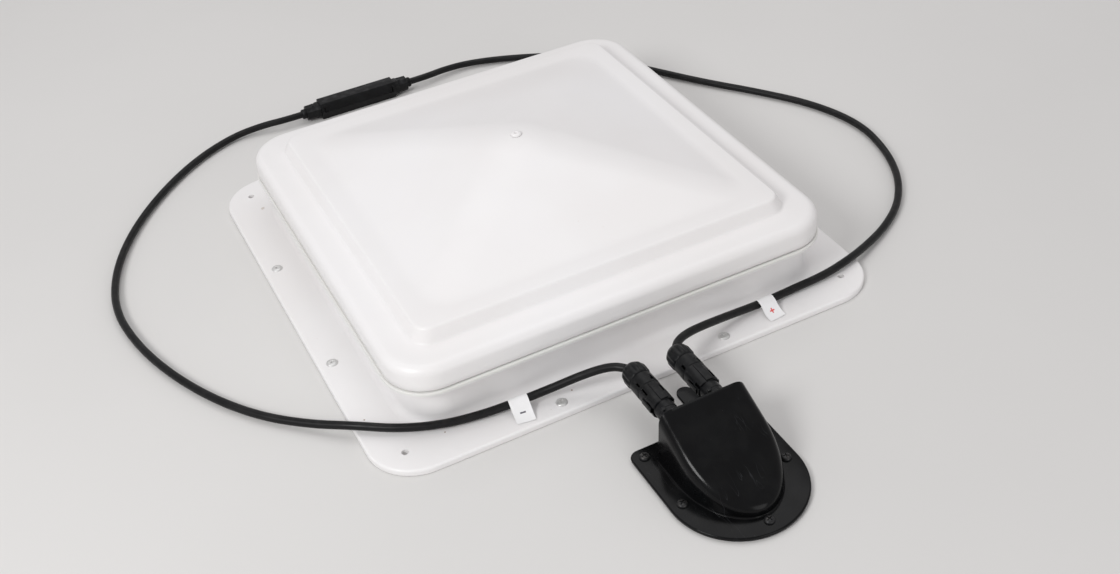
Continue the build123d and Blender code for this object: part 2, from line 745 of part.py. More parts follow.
# Pin through the arm's eye
roller_inner_x = arm_t / 2 + roller_gap
roller_outer_x = roller_inner_x + roller_w
with BuildPart() as roller_pin:
    with BuildSketch(Plane.YZ.offset(-roller_outer_x - roller_gap)) as pin_outline:
        with Locations((roller_y, roller_z)):
            Circle(roller_pin_d / 2)
    extrude(amount=2 * (roller_outer_x + roller_gap))
    for face_x in (-roller_outer_x - roller_gap - pin_end_t, roller_outer_x + roller_gap):
        with BuildSketch(Plane.YZ.offset(face_x)) as pin_end:
            with Locations((roller_y, roller_z)):
                Circle(pin_end_d / 2)
        extrude(amount=pin_end_t)
roller_pin.part.label = "roller_pin"
export_step(roller_pin.part, "parts/roller_pin.step")

# Two nylon rollers that run in the channel
with BuildPart() as lift_rollers:
    for start in (-roller_outer_x, roller_inner_x):
        with BuildSketch(Plane.YZ.offset(start)) as roller_outline:
            with Locations((roller_y, roller_z)):
                Circle(roller_d / 2)
                Circle(roller_pin_d / 2 + slip_gap, mode=Mode.SUBTRACT)
        extrude(amount=roller_w)
lift_rollers.part.label = "lift_rollers"
export_step(lift_rollers.part, "parts/lift_rollers.step")

# Arm shaft: journals in the case and its cover, a collar against the case and a nut outside the arm
cover_x = case_x + case_wall + case_cavity_w
shaft_end_x = cover_x + cover_t
with BuildPart() as arm_shaft:
    with BuildSketch(Plane.YZ.offset(-arm_t / 2 - nut_t)) as shaft_outline:
        with Locations((pivot_y, pivot_z)):
            Circle(arm_shaft_d / 2)
    extrude(amount=shaft_end_x + arm_t / 2 + nut_t)
    with BuildSketch(Plane.YZ.offset(arm_t / 2)) as collar_outline:
        with Locations((pivot_y, pivot_z)):
            Circle(arm_collar_d / 2)
    extrude(amount=case_side_gap - free_gap)
arm_shaft.part.label = "arm_shaft"
export_step(arm_shaft.part, "parts/arm_shaft.step")

with BuildPart() as arm_nut:
    with BuildSketch(Plane.YZ.offset(-arm_t / 2 - nut_t)) as nut_outline:
        with Locations((pivot_y, pivot_z)):
            RegularPolygon(nut_af / 2, 6, major_radius=False)
            Circle(arm_shaft_d / 2 + slip_gap, mode=Mode.SUBTRACT)
    extrude(amount=nut_t)
arm_nut.part.label = "arm_nut"
export_step(arm_nut.part, "parts/arm_nut.step")

# Worm wheel with straight trapezoid teeth, a space between two teeth facing the worm
tooth_rise = tooth_rise_share * gear_module
tooth_drop = tooth_drop_share * gear_module
tooth_half = (worm_lead / 2 - tooth_backlash) / 2
tooth_tip_half = tooth_half * tooth_tip_share
wheel_root_r = wheel_pitch_r - tooth_drop
wheel_tip_r = wheel_pitch_r + tooth_rise
with BuildPart() as worm_wheel:
    with BuildSketch(Plane.YZ.offset(worm_x - wheel_face / 2)) as wheel_outline:
        with Locations((pivot_y, pivot_z)):
            Circle(wheel_root_r)
        for tooth in range(wheel_teeth):
            turn = 2 * pi * (tooth + tooth_phase_share) / wheel_teeth
            outward = (cos(turn), sin(turn))
            across = (-sin(turn), cos(turn))
            corners = [(wheel_root_r - tooth_drop, tooth_half), (wheel_tip_r, tooth_tip_half),
                       (wheel_tip_r, -tooth_tip_half), (wheel_root_r - tooth_drop, -tooth_half)]
            places = [(pivot_y + r * outward[0] + w * across[0], pivot_z + r * outward[1] + w * across[1])
                      for r, w in corners]
            with BuildLine() as tooth_line:
                Polyline(*places, close=True)
            make_face()
        with Locations((pivot_y, pivot_z)):
            Circle(arm_shaft_d / 2 + slip_gap, mode=Mode.SUBTRACT)
    extrude(amount=wheel_face)
worm_wheel.part.label = "worm_wheel"
export_step(worm_wheel.part, "parts/worm_wheel.step")

# Crank shaft with its worm; the thread stands at the wheel's space at rest
worm_root_r = worm_pitch_r - tooth_drop
worm_tip_r = worm_pitch_r + tooth_rise
worm_low_z = pivot_z - worm_length / 2
worm_turns = worm_length / worm_lead
# The thread crosses the side that faces the wheel (+Y) at the pivot's height
thread_start_turn = pi / 2 - 2 * pi * worm_turns / 2
shaft_low_z = knob_z + knob_h / 2
with BuildPart() as crank_shaft:
    with BuildSketch(Plane.XY.offset(shaft_low_z)) as crank_outline:
        with Locations((worm_x, worm_y)):
            Circle(crank_shaft_d / 2)
    extrude(amount=case_top_z + case_wall / 2 - shaft_low_z)
    with BuildSketch(Plane.XY.offset(worm_low_z - gear_module)) as worm_core:
        with Locations((worm_x, worm_y)):
            Circle(worm_root_r)
    extrude(amount=worm_length + 2 * gear_module)
crank_body = crank_shaft.part
helix_frame = Plane(origin=(worm_x, worm_y, worm_low_z),
                    x_dir=(cos(thread_start_turn), sin(thread_start_turn), 0), z_dir=(0, 0, 1))
with BuildPart() as worm_thread:
    with BuildLine(helix_frame) as thread_line:
        Helix(worm_lead, worm_length, worm_root_r)
    with BuildSketch(Plane(origin=thread_line.line @ 0,
                           x_dir=(cos(thread_start_turn), sin(thread_start_turn), 0),
                           z_dir=thread_line.line % 0)) as thread_profile:
        with BuildLine() as thread_shape:
            Polyline((-tooth_drop / 2, -tooth_half), (tooth_drop + tooth_rise, -tooth_tip_half),
                     (tooth_drop + tooth_rise, tooth_tip_half), (-tooth_drop / 2, tooth_half), close=True)
        make_face()
    sweep(is_frenet=True)
with BuildPart() as worm_shaft:
    add(crank_body)
    add(worm_thread.part)
    with Locations(Plane(origin=(worm_x, worm_y, shaft_low_z), x_dir=(1, 0, 0), z_dir=(0, 0, -1))):
        Hole(knob_screw_d / 2 + slip_gap, knob_screw_l)
worm_shaft.part.label = "worm_shaft"
export_step(worm_shaft.part, "parts/worm_shaft.step")

# Gear case: open on one side, with a boss that guides the crank shaft down through the bridge
cover_mid_y = (case_front_y + case_back_y) / 2
cover_mid_z = (case_top_z + case_wall + bridge_top) / 2
cover_w = case_back_y - case_front_y + 2 * case_wall
cover_h = case_top_z + case_wall - bridge_top
cover_screw_reach_y = cover_w / 2 - cover_boss_r
cover_screw_reach_z = cover_h / 2 - cover_boss_r
cover_screw_places = [(cover_mid_y + side_y * cover_screw_reach_y, cover_mid_z + side_z * cover_screw_reach_z)
                      for side_y in (-1, 1) for side_z in (-1, 1)]
case_screw_places = [(worm_x, pivot_y + case_screw_near), (worm_x, pivot_y + case_screw_far)]
with BuildPart() as gear_case:
    with BuildSketch(Plane.YZ.offset(case_x)) as case_outline:
        with Locations(((case_front_y + case_back_y) / 2, (case_top_z + case_wall + bridge_top) / 2)):
            RectangleRounded(case_back_y - case_front_y + 2 * case_wall,
                             case_top_z + case_wall - bridge_top, case_round)
    extrude(amount=case_wall + case_cavity_w)
    with BuildSketch(Plane.YZ.offset(case_x + case_wall)) as cavity_outline:
        with Locations(((case_front_y + case_back_y) / 2, (case_top_z + case_floor_z) / 2)):
            RectangleRounded(case_back_y - case_front_y, case_top_z - case_floor_z, case_round)
    extrude(amount=case_cavity_w + overrun, mode=Mode.SUBTRACT)
    with BuildSketch(Plane.YZ.offset(case_x)) as cover_bosses:
        with Locations(*cover_screw_places):
            Circle(cover_boss_r)
    extrude(amount=case_wall + case_cavity_w)
    with BuildSketch(Plane.XY.offset(case_boss_low_z)) as boss_outline:
        with Locations((worm_x, worm_y)):
            Circle(case_boss_d / 2)
    extrude(amount=case_floor_z - case_boss_low_z)
    with BuildSketch(Plane.YZ.offset(case_x + case_wall)) as cover_holes:
        with Locations(*cover_screw_places):
            Circle(cover_screw_d / 2 + slip_gap)
    extrude(amount=case_cavity_w, mode=Mode.SUBTRACT)
    with BuildSketch(Plane.XY.offset(bridge_top)) as case_holes:
        with Locations(*case_screw_places):
            Circle(case_screw_d / 2 + slip_gap)
    extrude(amount=case_screw_l, mode=Mode.SUBTRACT)
    with Locations((worm_x, worm_y, case_top_z + case_wall / 2 + free_gap)):
        Hole(crank_shaft_d / 2 + slip_gap, case_top_z)
    with Locations(Plane(origin=(case_x + case_wall, pivot_y, pivot_z), x_dir=(0, 1, 0), z_dir=(1, 0, 0))):
        Hole(arm_shaft_d / 2 + slip_gap, case_wall + overrun)
gear_case.part.label = "gear_case"
export_step(gear_case.part, "parts/gear_case.step")

# Cover plate on the open side of the case
with BuildPart() as case_cover:
    with BuildSketch(Plane.YZ.offset(cover_x)) as cover_outline:
        with Locations((cover_mid_y, cover_mid_z)):
            RectangleRounded(cover_w, cover_h, case_round)
        with Locations((pivot_y, pivot_z)):
            Circle(arm_shaft_d / 2 + slip_gap, mode=Mode.SUBTRACT)
        with Locations(*cover_screw_places):
            Circle(cover_screw_d / 2 + slip_gap, mode=Mode.SUBTRACT)
    extrude(amount=cover_t)
case_cover.part.label = "case_cover"
export_step(case_cover.part, "parts/case_cover.step")

# Screws that hold the cover on the case
cover_screw = screw_form(cover_head_d, cover_head_h, cover_head_h / 2, cover_screw_d,
                         cover_t + case_cavity_w / 2)
with BuildPart() as cover_screws:
    for place_y, place_z in cover_screw_places:
        with Locations(Plane(origin=(cover_x + cover_t, place_y, place_z), x_dir=(0, 1, 0), z_dir=(1, 0, 0))):
            add(cover_screw)
cover_screws.part.label = "cover_screws"
export_step(cover_screws.part, "parts/cover_screws.step")

# Bridge across the opening that carries the gear case
bridge_l = upstand_inner_w - 2 * bridge_end_gap
bridge_inner_l = ledge_w - 2 * bridge_end_gap
with BuildPart() as operator_bridge:
    with BuildSketch(Plane.XY.offset(ledge_top)) as bridge_outline:
        with Locations((0, bridge_y)):
            Rectangle(bridge_l, bridge_w)
        with Locations((worm_x, worm_y)):
            Circle(case_boss_d / 2 + crank_boss_hole_gap, mode=Mode.SUBTRACT)
    extrude(amount=bridge_t)
    for side in (-1, 1):
        with BuildSketch(Plane.XY.offset(bridge_top)) as turnup_outline:
            with Locations((0, bridge_y + side * (bridge_w - bridge_t) / 2)):
                Rectangle(bridge_inner_l, bridge_t)
        extrude(amount=bridge_turnup)
    with Locations(*bridge_screw_places(bridge_top)):
        Hole(case_screw_d / 2 + slip_gap, bridge_t)
    with BuildSketch(Plane.XY.offset(ledge_top)) as case_screw_holes:
        with Locations(*case_screw_places):
            Circle(case_screw_d / 2 + slip_gap)
    extrude(amount=bridge_t, mode=Mode.SUBTRACT)
operator_bridge.part.label = "operator_bridge"
export_step(operator_bridge.part, "parts/operator_bridge.step")

bridge_screw = screw_form(small_head_d, small_head_h, small_head_h / 2, case_screw_d, bridge_t + ledge_t / 2)
with BuildPart() as bridge_screws:
    with Locations(*bridge_screw_places(bridge_top)):
        add(bridge_screw)
bridge_screws.part.label = "bridge_screws"
export_step(bridge_screws.part, "parts/bridge_screws.step")

# Screws up through the bridge into the gear case
case_screw = screw_form(small_head_d, small_head_h, small_head_h / 2, case_screw_d,
                        bridge_t + case_screw_l - free_gap)
with BuildPart() as case_screws:
    for place_x, place_y in case_screw_places:
        with Locations(Plane(origin=(place_x, place_y, ledge_top), x_dir=(1, 0, 0), z_dir=(0, 0, -1))):
            add(case_screw)
case_screws.part.label = "case_screws"
export_step(case_screws.part, "parts/case_screws.step")

# Crank knob below the screen, with finger scallops and a dish
with BuildPart() as crank_knob:
    with BuildSketch(Plane.XY.offset(knob_z)) as knob_outline:
        with Locations((worm_x, worm_y)):
            Circle(knob_d / 2)
            with PolarLocations(knob_d / 2 * scallop_ring_share, scallop_count):
                Circle(scallop_d / 2, mode=Mode.SUBTRACT)
    extrude(amount=knob_h)
    fillet(crank_knob.edges().group_by(Axis.Z)[0], knob_round / 2)
    fillet(crank_knob.edges().group_by(Axis.Z)[-1], knob_round / 2)
    with BuildSketch(Plane.XY.offset(knob_z)) as dish_outline:
        with Locations((worm_x, worm_y)):
            Circle(knob_d / 2 * knob_dish_share)
            Circle(knob_hub_d / 2, mode=Mode.SUBTRACT)
    extrude(amount=knob_dish_depth, mode=Mode.SUBTRACT)
    with Locations((worm_x, worm_y, knob_z + knob_h)):
        Hole(crank_shaft_d / 2 + slip_gap, knob_h / 2)
    with Locations((worm_x, worm_y, knob_z + knob_h)):
        Hole(knob_screw_d / 2 + slip_gap, knob_h + overrun)
    with Locations((worm_x, worm_y, knob_z + knob_screw_head_h + free_gap)):
        Hole(knob_screw_head_d / 2 + free_gap, knob_h)
crank_knob.part.label = "crank_knob"
export_step(crank_knob.part, "parts/crank_knob.step")

# Screw that holds the knob on its shaft
knob_seat_z = knob_z + knob_screw_head_h + free_gap
with BuildPart() as knob_screw:
    with Locations(Plane(origin=(worm_x, worm_y, knob_seat_z), x_dir=(1, 0, 0), z_dir=(0, 0, -1))):
        add(screw_form(knob_screw_head_d, knob_screw_head_h, knob_screw_head_h / 2,
                       knob_screw_d, shaft_low_z - knob_seat_z + knob_screw_l - free_gap))
knob_screw.part.label = "knob_screw"
export_step(knob_screw.part, "parts/knob_screw.step")

# Insect screen: a frame screwed up under the ledge with the net held between them
screen_frame_z = ledge_z - screen_net_t - screen_frame_t
screen_outer_r = upstand_inner_r - free_gap
with BuildPart() as screen_frame:
    extrude(square_ring(screen_frame_outer_w, screen_outer_r, screen_frame_outer_w - 2 * screen_frame_band,
                        screen_outer_r - screen_frame_band / 2, screen_frame_z), amount=screen_frame_t)
    with Locations(*screen_screw_places(ledge_z)):
        Hole(screen_screw_d / 2 + slip_gap, screen_net_t + screen_frame_t + overrun)
screen_frame.part.label = "screen_frame"
export_step(screen_frame.part, "parts/screen_frame.step")

# Net: square openings on a grid, with a plain ring round the crank boss
net_w = screen_frame_outer_w - 2 * free_gap
net_open_w = screen_frame_outer_w - 2 * screen_frame_band
net_pitch = net_open_w / net_count
net_ring_r = case_boss_d / 2 + grommet_gap + net_ring_w
with BuildPart() as insect_net:
    with BuildSketch(Plane.XY.offset(ledge_z - screen_net_t)) as net_outline:
        RectangleRounded(net_w, net_w, screen_outer_r - free_gap)
        with GridLocations(net_pitch, net_pitch, net_count, net_count):
            Rectangle(net_pitch - net_wire_w, net_pitch - net_wire_w, mode=Mode.SUBTRACT)
        with Locations((worm_x, worm_y)):
            Circle(net_ring_r)
            Circle(case_boss_d / 2 + grommet_gap, mode=Mode.SUBTRACT)
        with Locations(*screen_screw_places(0)):
            Circle(screen_screw_d / 2 + slip_gap, mode=Mode.SUBTRACT)
    extrude(amount=screen_net_t)
insect_net.part.label = "insect_net"
export_step(insect_net.part, "parts/insect_net.step")

screen_screw = screw_form(small_head_d, small_head_h, small_head_h / 2, screen_screw_d,
                          screen_frame_t + screen_net_t + ledge_t)
with BuildPart() as screen_screws:
    for place in screen_screw_places(screen_frame_z):
        with Locations(Plane(origin=place.position, x_dir=(1, 0, 0), z_dir=(0, 0, -1))):
            add(screen_screw)
screen_screws.part.label = "screen_screws"
export_step(screen_screws.part, "parts/screen_screws.step")


# Cable entry housing: a wedge-shaped hood on a flange plate, open below
def hood_form(inset, floor_z):
    slope = Plane(origin=(entry_x, hood_rear_y, hood_rear_h), x_dir=(1, 0, 0),
                  z_dir=(0, hood_nose_h - hood_rear_h, hood_rear_y - hood_nose_y))
    with BuildPart() as form:
        extrude(entry_outline(hood_half_w - inset, hood_rear_y - inset, hood_nose_y + inset,
                              hood_corner_r - inset, floor_z),
                amount=hood_rear_h + hood_nose_h, taper=hood_taper)
        split(bisect_by=slope.offset(-inset), keep=Keep.BOTTOM)
        fillet(form.faces().sort_by(Axis.Z)[-1].edges(), max(hood_rim_r - inset, inner_round_min))
    return form.part


def entry_screw_places(height):
    side = entry_screw_pitch / 2
    return [Location((entry_x - side, entry_rear_screw_y, height)),
            Location((entry_x + side, entry_rear_screw_y, height)),
            Location((entry_x - side, entry_mid_screw_y, height)),
            Location((entry_x + side, entry_mid_screw_y, height)),
            Location((entry_x, entry_nose_screw_y, height))]


def across_y(y):
    return Plane.XZ.offset(-y)


plug_places = [(entry_x - plug_pitch / 2, plug_z), (entry_x + plug_pitch / 2, plug_z)]
with BuildPart() as entry_housing:
    extrude(entry_outline(entry_half_w, entry_rear_y, entry_nose_y, entry_corner_r, gasket_t),
            amount=entry_plate_h - gasket_t)
    fillet(entry_housing.edges().group_by(Axis.Z)[-1], entry_plate_round)
    add(hood_form(0, gasket_t))
    with BuildSketch(Plane.XY.offset(tongue_z)) as tongue_outline:
        with Locations((entry_x, tongue_end_y - tongue_w / 2)):
            Circle(tongue_w / 2)
        with Locations((entry_x, (tongue_end_y - tongue_w / 2 + hood_rear_y - hood_corner_r) / 2)):
            Rectangle(tongue_w, tongue_end_y - tongue_w / 2 - hood_rear_y + hood_corner_r)
    extrude(amount=tongue_t)
    add(hood_form(hood_wall, gasket_t), mode=Mode.SUBTRACT)
    with BuildSketch(across_y(socket_face_y)) as boss_face:
        with Locations(*plug_places):
            Circle(socket_boss_d / 2)
    extrude(amount=socket_boss_l)
    with BuildSketch(across_y(socket_face_y + overrun)) as socket_holes:
        with Locations(*plug_places):
            Circle(socket_shank_d / 2 + slip_gap)
    extrude(amount=socket_boss_l + 2 * overrun, mode=Mode.SUBTRACT)
    with Locations(*entry_screw_places(entry_plate_h)):
        Hole(entry_screw_hole_d / 2, entry_plate_h)
entry_housing.part.label = "entry_housing"
export_step(entry_housing.part, "parts/entry_housing.step")

with BuildPart() as entry_gasket:
    extrude(entry_outline(entry_half_w - gasket_inset, entry_rear_y - gasket_inset,
                          entry_nose_y + gasket_inset, entry_corner_r - gasket_inset, 0), amount=gasket_t)
    extrude(entry_outline(entry_half_w - gasket_inset - gasket_band, entry_rear_y - gasket_inset - gasket_band,
                          entry_nose_y + gasket_inset + gasket_band, entry_corner_r / 2, 0),
            amount=gasket_t, mode=Mode.SUBTRACT)
    with Locations(*entry_screw_places(gasket_t)):
        Hole(entry_screw_hole_d / 2, gasket_t)
entry_gasket.part.label = "entry_gasket"
export_step(entry_gasket.part, "parts/entry_gasket.step")

entry_screw = screw_form(entry_head_d, entry_head_h, entry_head_round, entry_screw_d, entry_plate_h - free_gap)
with BuildPart() as entry_screws:
    with Locations(*entry_screw_places(entry_plate_h)):
        add(entry_screw)
entry_screws.part.label = "entry_screws"
export_step(entry_screws.part, "parts/entry_screws.step")

# Panel sockets through the housing's rear wall, and their nuts inside
with BuildPart() as panel_sockets:
    with BuildSketch(across_y(socket_face_y)) as socket_flanges:
        with Locations(*plug_places):
            Circle(socket_flange_d / 2)
    extrude(amount=-socket_flange_t)
    with BuildSketch(across_y(socket_face_y)) as socket_sleeves:
        with Locations(*plug_places):
            Circle(socket_sleeve_d / 2)
    extrude(amount=-socket_flange_t - socket_sleeve_l)
    with BuildSketch(across_y(socket_face_y)) as socket_shanks:
        with Locations(*plug_places):
            Circle(socket_shank_d / 2)
    extrude(amount=socket_boss_l + socket_inner_l)
panel_sockets.part.label = "panel_sockets"
export_step(panel_sockets.part, "parts/panel_sockets.step")

with BuildPart() as socket_nuts:
    with BuildSketch(across_y(socket_face_y - socket_boss_l)) as nut_faces:
        with Locations(*plug_places):
            RegularPolygon(socket_nut_af / 2, 6, major_radius=False)
            Circle(socket_shank_d / 2 + slip_gap, mode=Mode.SUBTRACT)
    extrude(amount=socket_nut_t)
socket_nuts.part.label = "socket_nuts"
export_step(socket_nuts.part, "parts/socket_nuts.step")

# Each cable plug has a body with two latches over the socket, and a ribbed cable nut
for name, place in zip(("minus", "plus"), plug_places):
    with BuildPart() as plug_body:
        with BuildSketch(across_y(plug_nut_end_y - plug_nut_l)) as body_outline:
            with Locations(place):
                RectangleRounded(plug_body_w, plug_body_h, plug_body_r)
        extrude(amount=plug_nut_end_y - plug_nut_l - plug_face_y)
        for side in (-1, 1):
            with BuildSketch(across_y(plug_face_y + overrun)) as latch_outline:
                with Locations((place[0] + side * (socket_sleeve_d / 2 + free_gap + latch_t / 2), place[1])):
                    Rectangle(latch_t, latch_w)
            extrude(amount=latch_l)
    plug_body.part.label = "plug_body_" + name
    export_step(plug_body.part, "parts/plug_body_" + name + ".step")
    with BuildPart() as plug_nut:
        with BuildSketch(across_y(plug_nut_end_y - plug_nut_cone_l)) as barrel_outline:
            with Locations(place):
                Circle(plug_nut_d / 2)
                with PolarLocations(plug_nut_d / 2, plug_rib_count):
                    Circle(plug_rib_d / 2)
        extrude(amount=plug_nut_l - plug_nut_cone_l)
        with BuildSketch(across_y(plug_nut_end_y - plug_nut_cone_l)) as cone_base:
            with Locations(place):
                Circle(plug_nut_d / 2)
        with BuildSketch(across_y(plug_nut_end_y)) as cone_tip:
            with Locations(place):
                Circle(plug_nut_tip_d / 2)
        loft([cone_base.sketch, cone_tip.sketch])
        with BuildSketch(across_y(plug_nut_end_y)) as mouth_top:
            with Locations(place):
                Circle(plug_mouth_d / 2)
        with BuildSketch(across_y(plug_nut_end_y - plug_mouth_depth)) as mouth_floor:
            with Locations(place):
                Circle(plug_mouth_floor_d / 2)
        loft([mouth_top.sketch, mouth_floor.sketch], mode=Mode.SUBTRACT)
    plug_nut.part.label = "plug_nut_" + name
    export_step(plug_nut.part, "parts/plug_nut_" + name + ".step")

# Inline fuse holder lying behind the vent, along X
body_start_x = holder_left_x + holder_collar_l + holder_cap_l
body_end_x = body_start_x + holder_body_l
holder_end_x = body_end_x + holder_cap_l + holder_collar_l
with BuildPart() as holder_body:
    with BuildSketch(Plane(origin=(body_start_x, holder_y, holder_z),
                           x_dir=(0, 1, 0), z_dir=(1, 0, 0))) as holder_outline:
        with BuildLine() as holder_line:
            Polyline((-holder_flat_w / 2, -holder_body_h / 2), (holder_flat_w / 2, -holder_body_h / 2),
                     (holder_body_w / 2, 0), (holder_flat_w / 2, holder_body_h / 2),
                     (-holder_flat_w / 2, holder_body_h / 2), (-holder_body_w / 2, 0), close=True)
        make_face()
        Circle(holder_bore_d / 2, mode=Mode.SUBTRACT)
    extrude(amount=holder_body_l)
holder_body.part.label = "holder_body"
export_step(holder_body.part, "parts/holder_body.step")

with BuildPart() as holder_caps:
    for start in (body_start_x - holder_cap_l, body_end_x):
        with BuildSketch(Plane.YZ.offset(start)) as cap_outline:
            with Locations((holder_y, holder_z)):
                Rectangle(holder_cap_w, holder_cap_w)
            chamfer(cap_outline.vertices(), holder_cap_chamfer)
        extrude(amount=holder_cap_l)
holder_caps.part.label = "holder_caps"
export_step(holder_caps.part, "parts/holder_caps.step")

with BuildPart() as holder_nuts:
    for start in (holder_left_x, body_end_x + holder_cap_l):
        with BuildSketch(Plane.YZ.offset(start)) as collar_face:
            with Locations((holder_y, holder_z)):
                Circle(holder_collar_d / 2)
        extrude(amount=holder_collar_l)
holder_nuts.part.label = "holder_nuts"
export_step(holder_nuts.part, "parts/holder_nuts.step")

# Fuse with its end caps, and the contacts that hold it at both ends
fuse_mid_x = (body_start_x + body_end_x) / 2
with BuildPart() as fuse_barrel:
    with BuildSketch(Plane.YZ.offset(fuse_mid_x - fuse_l / 2 + fuse_cap_l)) as barrel_face:
        with Locations((holder_y, holder_z)):
            Circle(fuse_d / 2 - free_gap)
    extrude(amount=fuse_l - 2 * fuse_cap_l)
fuse_barrel.part.label = "fuse_barrel"
export_step(fuse_barrel.part, "parts/fuse_barrel.step")

with BuildPart() as fuse_caps:
    for start in (fuse_mid_x - fuse_l / 2, fuse_mid_x + fuse_l / 2 - fuse_cap_l):
        with BuildSketch(Plane.YZ.offset(start)) as fuse_cap_face:
            with Locations((holder_y, holder_z)):
                Circle(fuse_d / 2)
        extrude(amount=fuse_cap_l)
fuse_caps.part.label = "fuse_caps"
export_step(fuse_caps.part, "parts/fuse_caps.step")

with BuildPart() as fuse_contacts:
    for start in (body_start_x, fuse_mid_x + fuse_l / 2):
        with BuildSketch(Plane.YZ.offset(start)) as contact_face:
            with Locations((holder_y, holder_z)):
                Circle(contact_d / 2)
        extrude(amount=(holder_body_l - fuse_l) / 2)
fuse_contacts.part.label = "fuse_contacts"
export_step(fuse_contacts.part, "parts/fuse_contacts.step")


# Free cables: straight runs joined by arcs as large as the runs allow
def lead_radii(name, route):
    points = [Vector(*point) for point in route]
    runs = [(after - before).length for before, after in zip(points, points[1:])]
    radii = []
    for corner in range(1, len(points) - 1):
        before = points[corner] - points[corner - 1]
        after = points[corner + 1] - points[corner]
        half_turn = radians(before.get_angle(after)) / 2
        radii.append(arc_share * min(runs[corner - 1], runs[corner]) / tan(half_turn))
    print(name, "runs", [round(run) for run in runs])
    print(name, "radii", [round(radius) for radius in radii])
    return radii


# A paper tag is a loop round the cable with a flag that reaches down to the flange
def paper_tag(path, place):
    share = place / path.length
    middle = path.position_at(share)
    tangent = path.tangent_at(share)
    along = Vector(tangent.X, tangent.Y, 0).normalized()
    if along.X > 0:
        along = along * -1
    front = Vector(0, 0, 1).cross(along)
    loop_r = cable_r + tag_gap
    drop = middle.Z - flange_h - tag_drop_gap
    with BuildPart() as tag:
        with BuildSketch(Plane(origin=middle - along * tag_w / 2, x_dir=front, z_dir=along)) as tag_profile:
            with BuildLine() as flag_line:
                Polyline((loop_r, tag_t), (tag_reach, tag_t - drop), (tag_reach, -drop),
                         (loop_r, -tag_t), close=True)
            make_face()
            Circle(loop_r + tag_t)
            Circle(loop_r, mode=Mode.SUBTRACT)
        extrude(amount=tag_w)
    return tag.part


for name, route, tag_at in (("minus", minus_route, minus_tag_at), ("plus", plus_route, plus_tag_at)):
    with BuildPart() as lead:
        with BuildLine() as lead_line:
            FilletPolyline(*route, radius=lead_radii("lead_" + name, route))
        lead_path = lead_line.wire()
        with BuildSketch(Plane(origin=route[0], z_dir=lead_path % 0)) as lead_section:
            Circle(cable_r)
        sweep(path=lead_path)
    lead.part.label = "lead_" + name
    export_step(lead.part, "parts/lead_" + name + ".step")
    print("lead_" + name, "length", round(lead_path.length, 1), "volume", round(lead.part.volume),
          "section times length", round(pi * cable_r ** 2 * lead_path.length))
    cable_tag = paper_tag(lead_path, tag_at)
    cable_tag.label = "tag_" + name
    export_step(cable_tag, "parts/tag_" + name + ".step")
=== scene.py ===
import bmesh
import bpy
import json
from math import copysign, cos, degrees, pi, radians, sin, sqrt, tan
from mathutils import Matrix, Vector


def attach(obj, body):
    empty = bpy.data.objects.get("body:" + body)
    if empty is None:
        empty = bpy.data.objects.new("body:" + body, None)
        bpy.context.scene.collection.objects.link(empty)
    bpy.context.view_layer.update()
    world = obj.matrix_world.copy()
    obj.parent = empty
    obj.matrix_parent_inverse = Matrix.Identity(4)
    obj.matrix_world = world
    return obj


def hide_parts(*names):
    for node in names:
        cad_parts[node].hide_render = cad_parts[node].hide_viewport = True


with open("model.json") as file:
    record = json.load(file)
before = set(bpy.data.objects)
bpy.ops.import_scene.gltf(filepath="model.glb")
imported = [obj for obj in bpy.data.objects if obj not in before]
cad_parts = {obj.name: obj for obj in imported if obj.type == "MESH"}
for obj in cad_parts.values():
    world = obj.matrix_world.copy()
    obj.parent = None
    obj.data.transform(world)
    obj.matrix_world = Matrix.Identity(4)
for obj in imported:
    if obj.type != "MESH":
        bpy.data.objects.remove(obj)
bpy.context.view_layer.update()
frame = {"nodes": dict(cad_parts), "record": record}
scene = bpy.context.scene
mm = 0.001

# Camera: its place, aim, roll and lens are those of the photograph, whose view is 1120 by 574
cameraView = {"at": (-371.3, -899.9, 714.0), "target": (-7.17, -79.48, 0.0), "roll": -5.2, "lens": 42.67,
              "sensor": 36.0, "near": 0.01, "far": 20.0}


def addCamera(view):
    centre = Vector(view["at"]) * mm
    forward = (Vector(view["target"]) * mm - centre).normalized()
    right = forward.cross(Vector((0, 0, 1))).normalized()
    up = right.cross(forward)
    roll = radians(view["roll"])
    across = right * cos(roll) + up * sin(roll)
    upward = up * cos(roll) - right * sin(roll)
    data = bpy.data.cameras.new("viewCamera")
    data.sensor_width = view["sensor"]
    data.lens = view["lens"]
    data.clip_start = view["near"]
    data.clip_end = view["far"]
    camera = bpy.data.objects.new("viewCamera", data)
    camera.matrix_world = Matrix((
        (across.x, upward.x, -forward.x, centre.x), (across.y, upward.y, -forward.y, centre.y),
        (across.z, upward.z, -forward.z, centre.z), (0, 0, 0, 1)))
    scene.collection.objects.link(camera)
    scene.camera = camera


addCamera(cameraView)
scene.view_settings.view_transform = "Standard"
print("camera set")

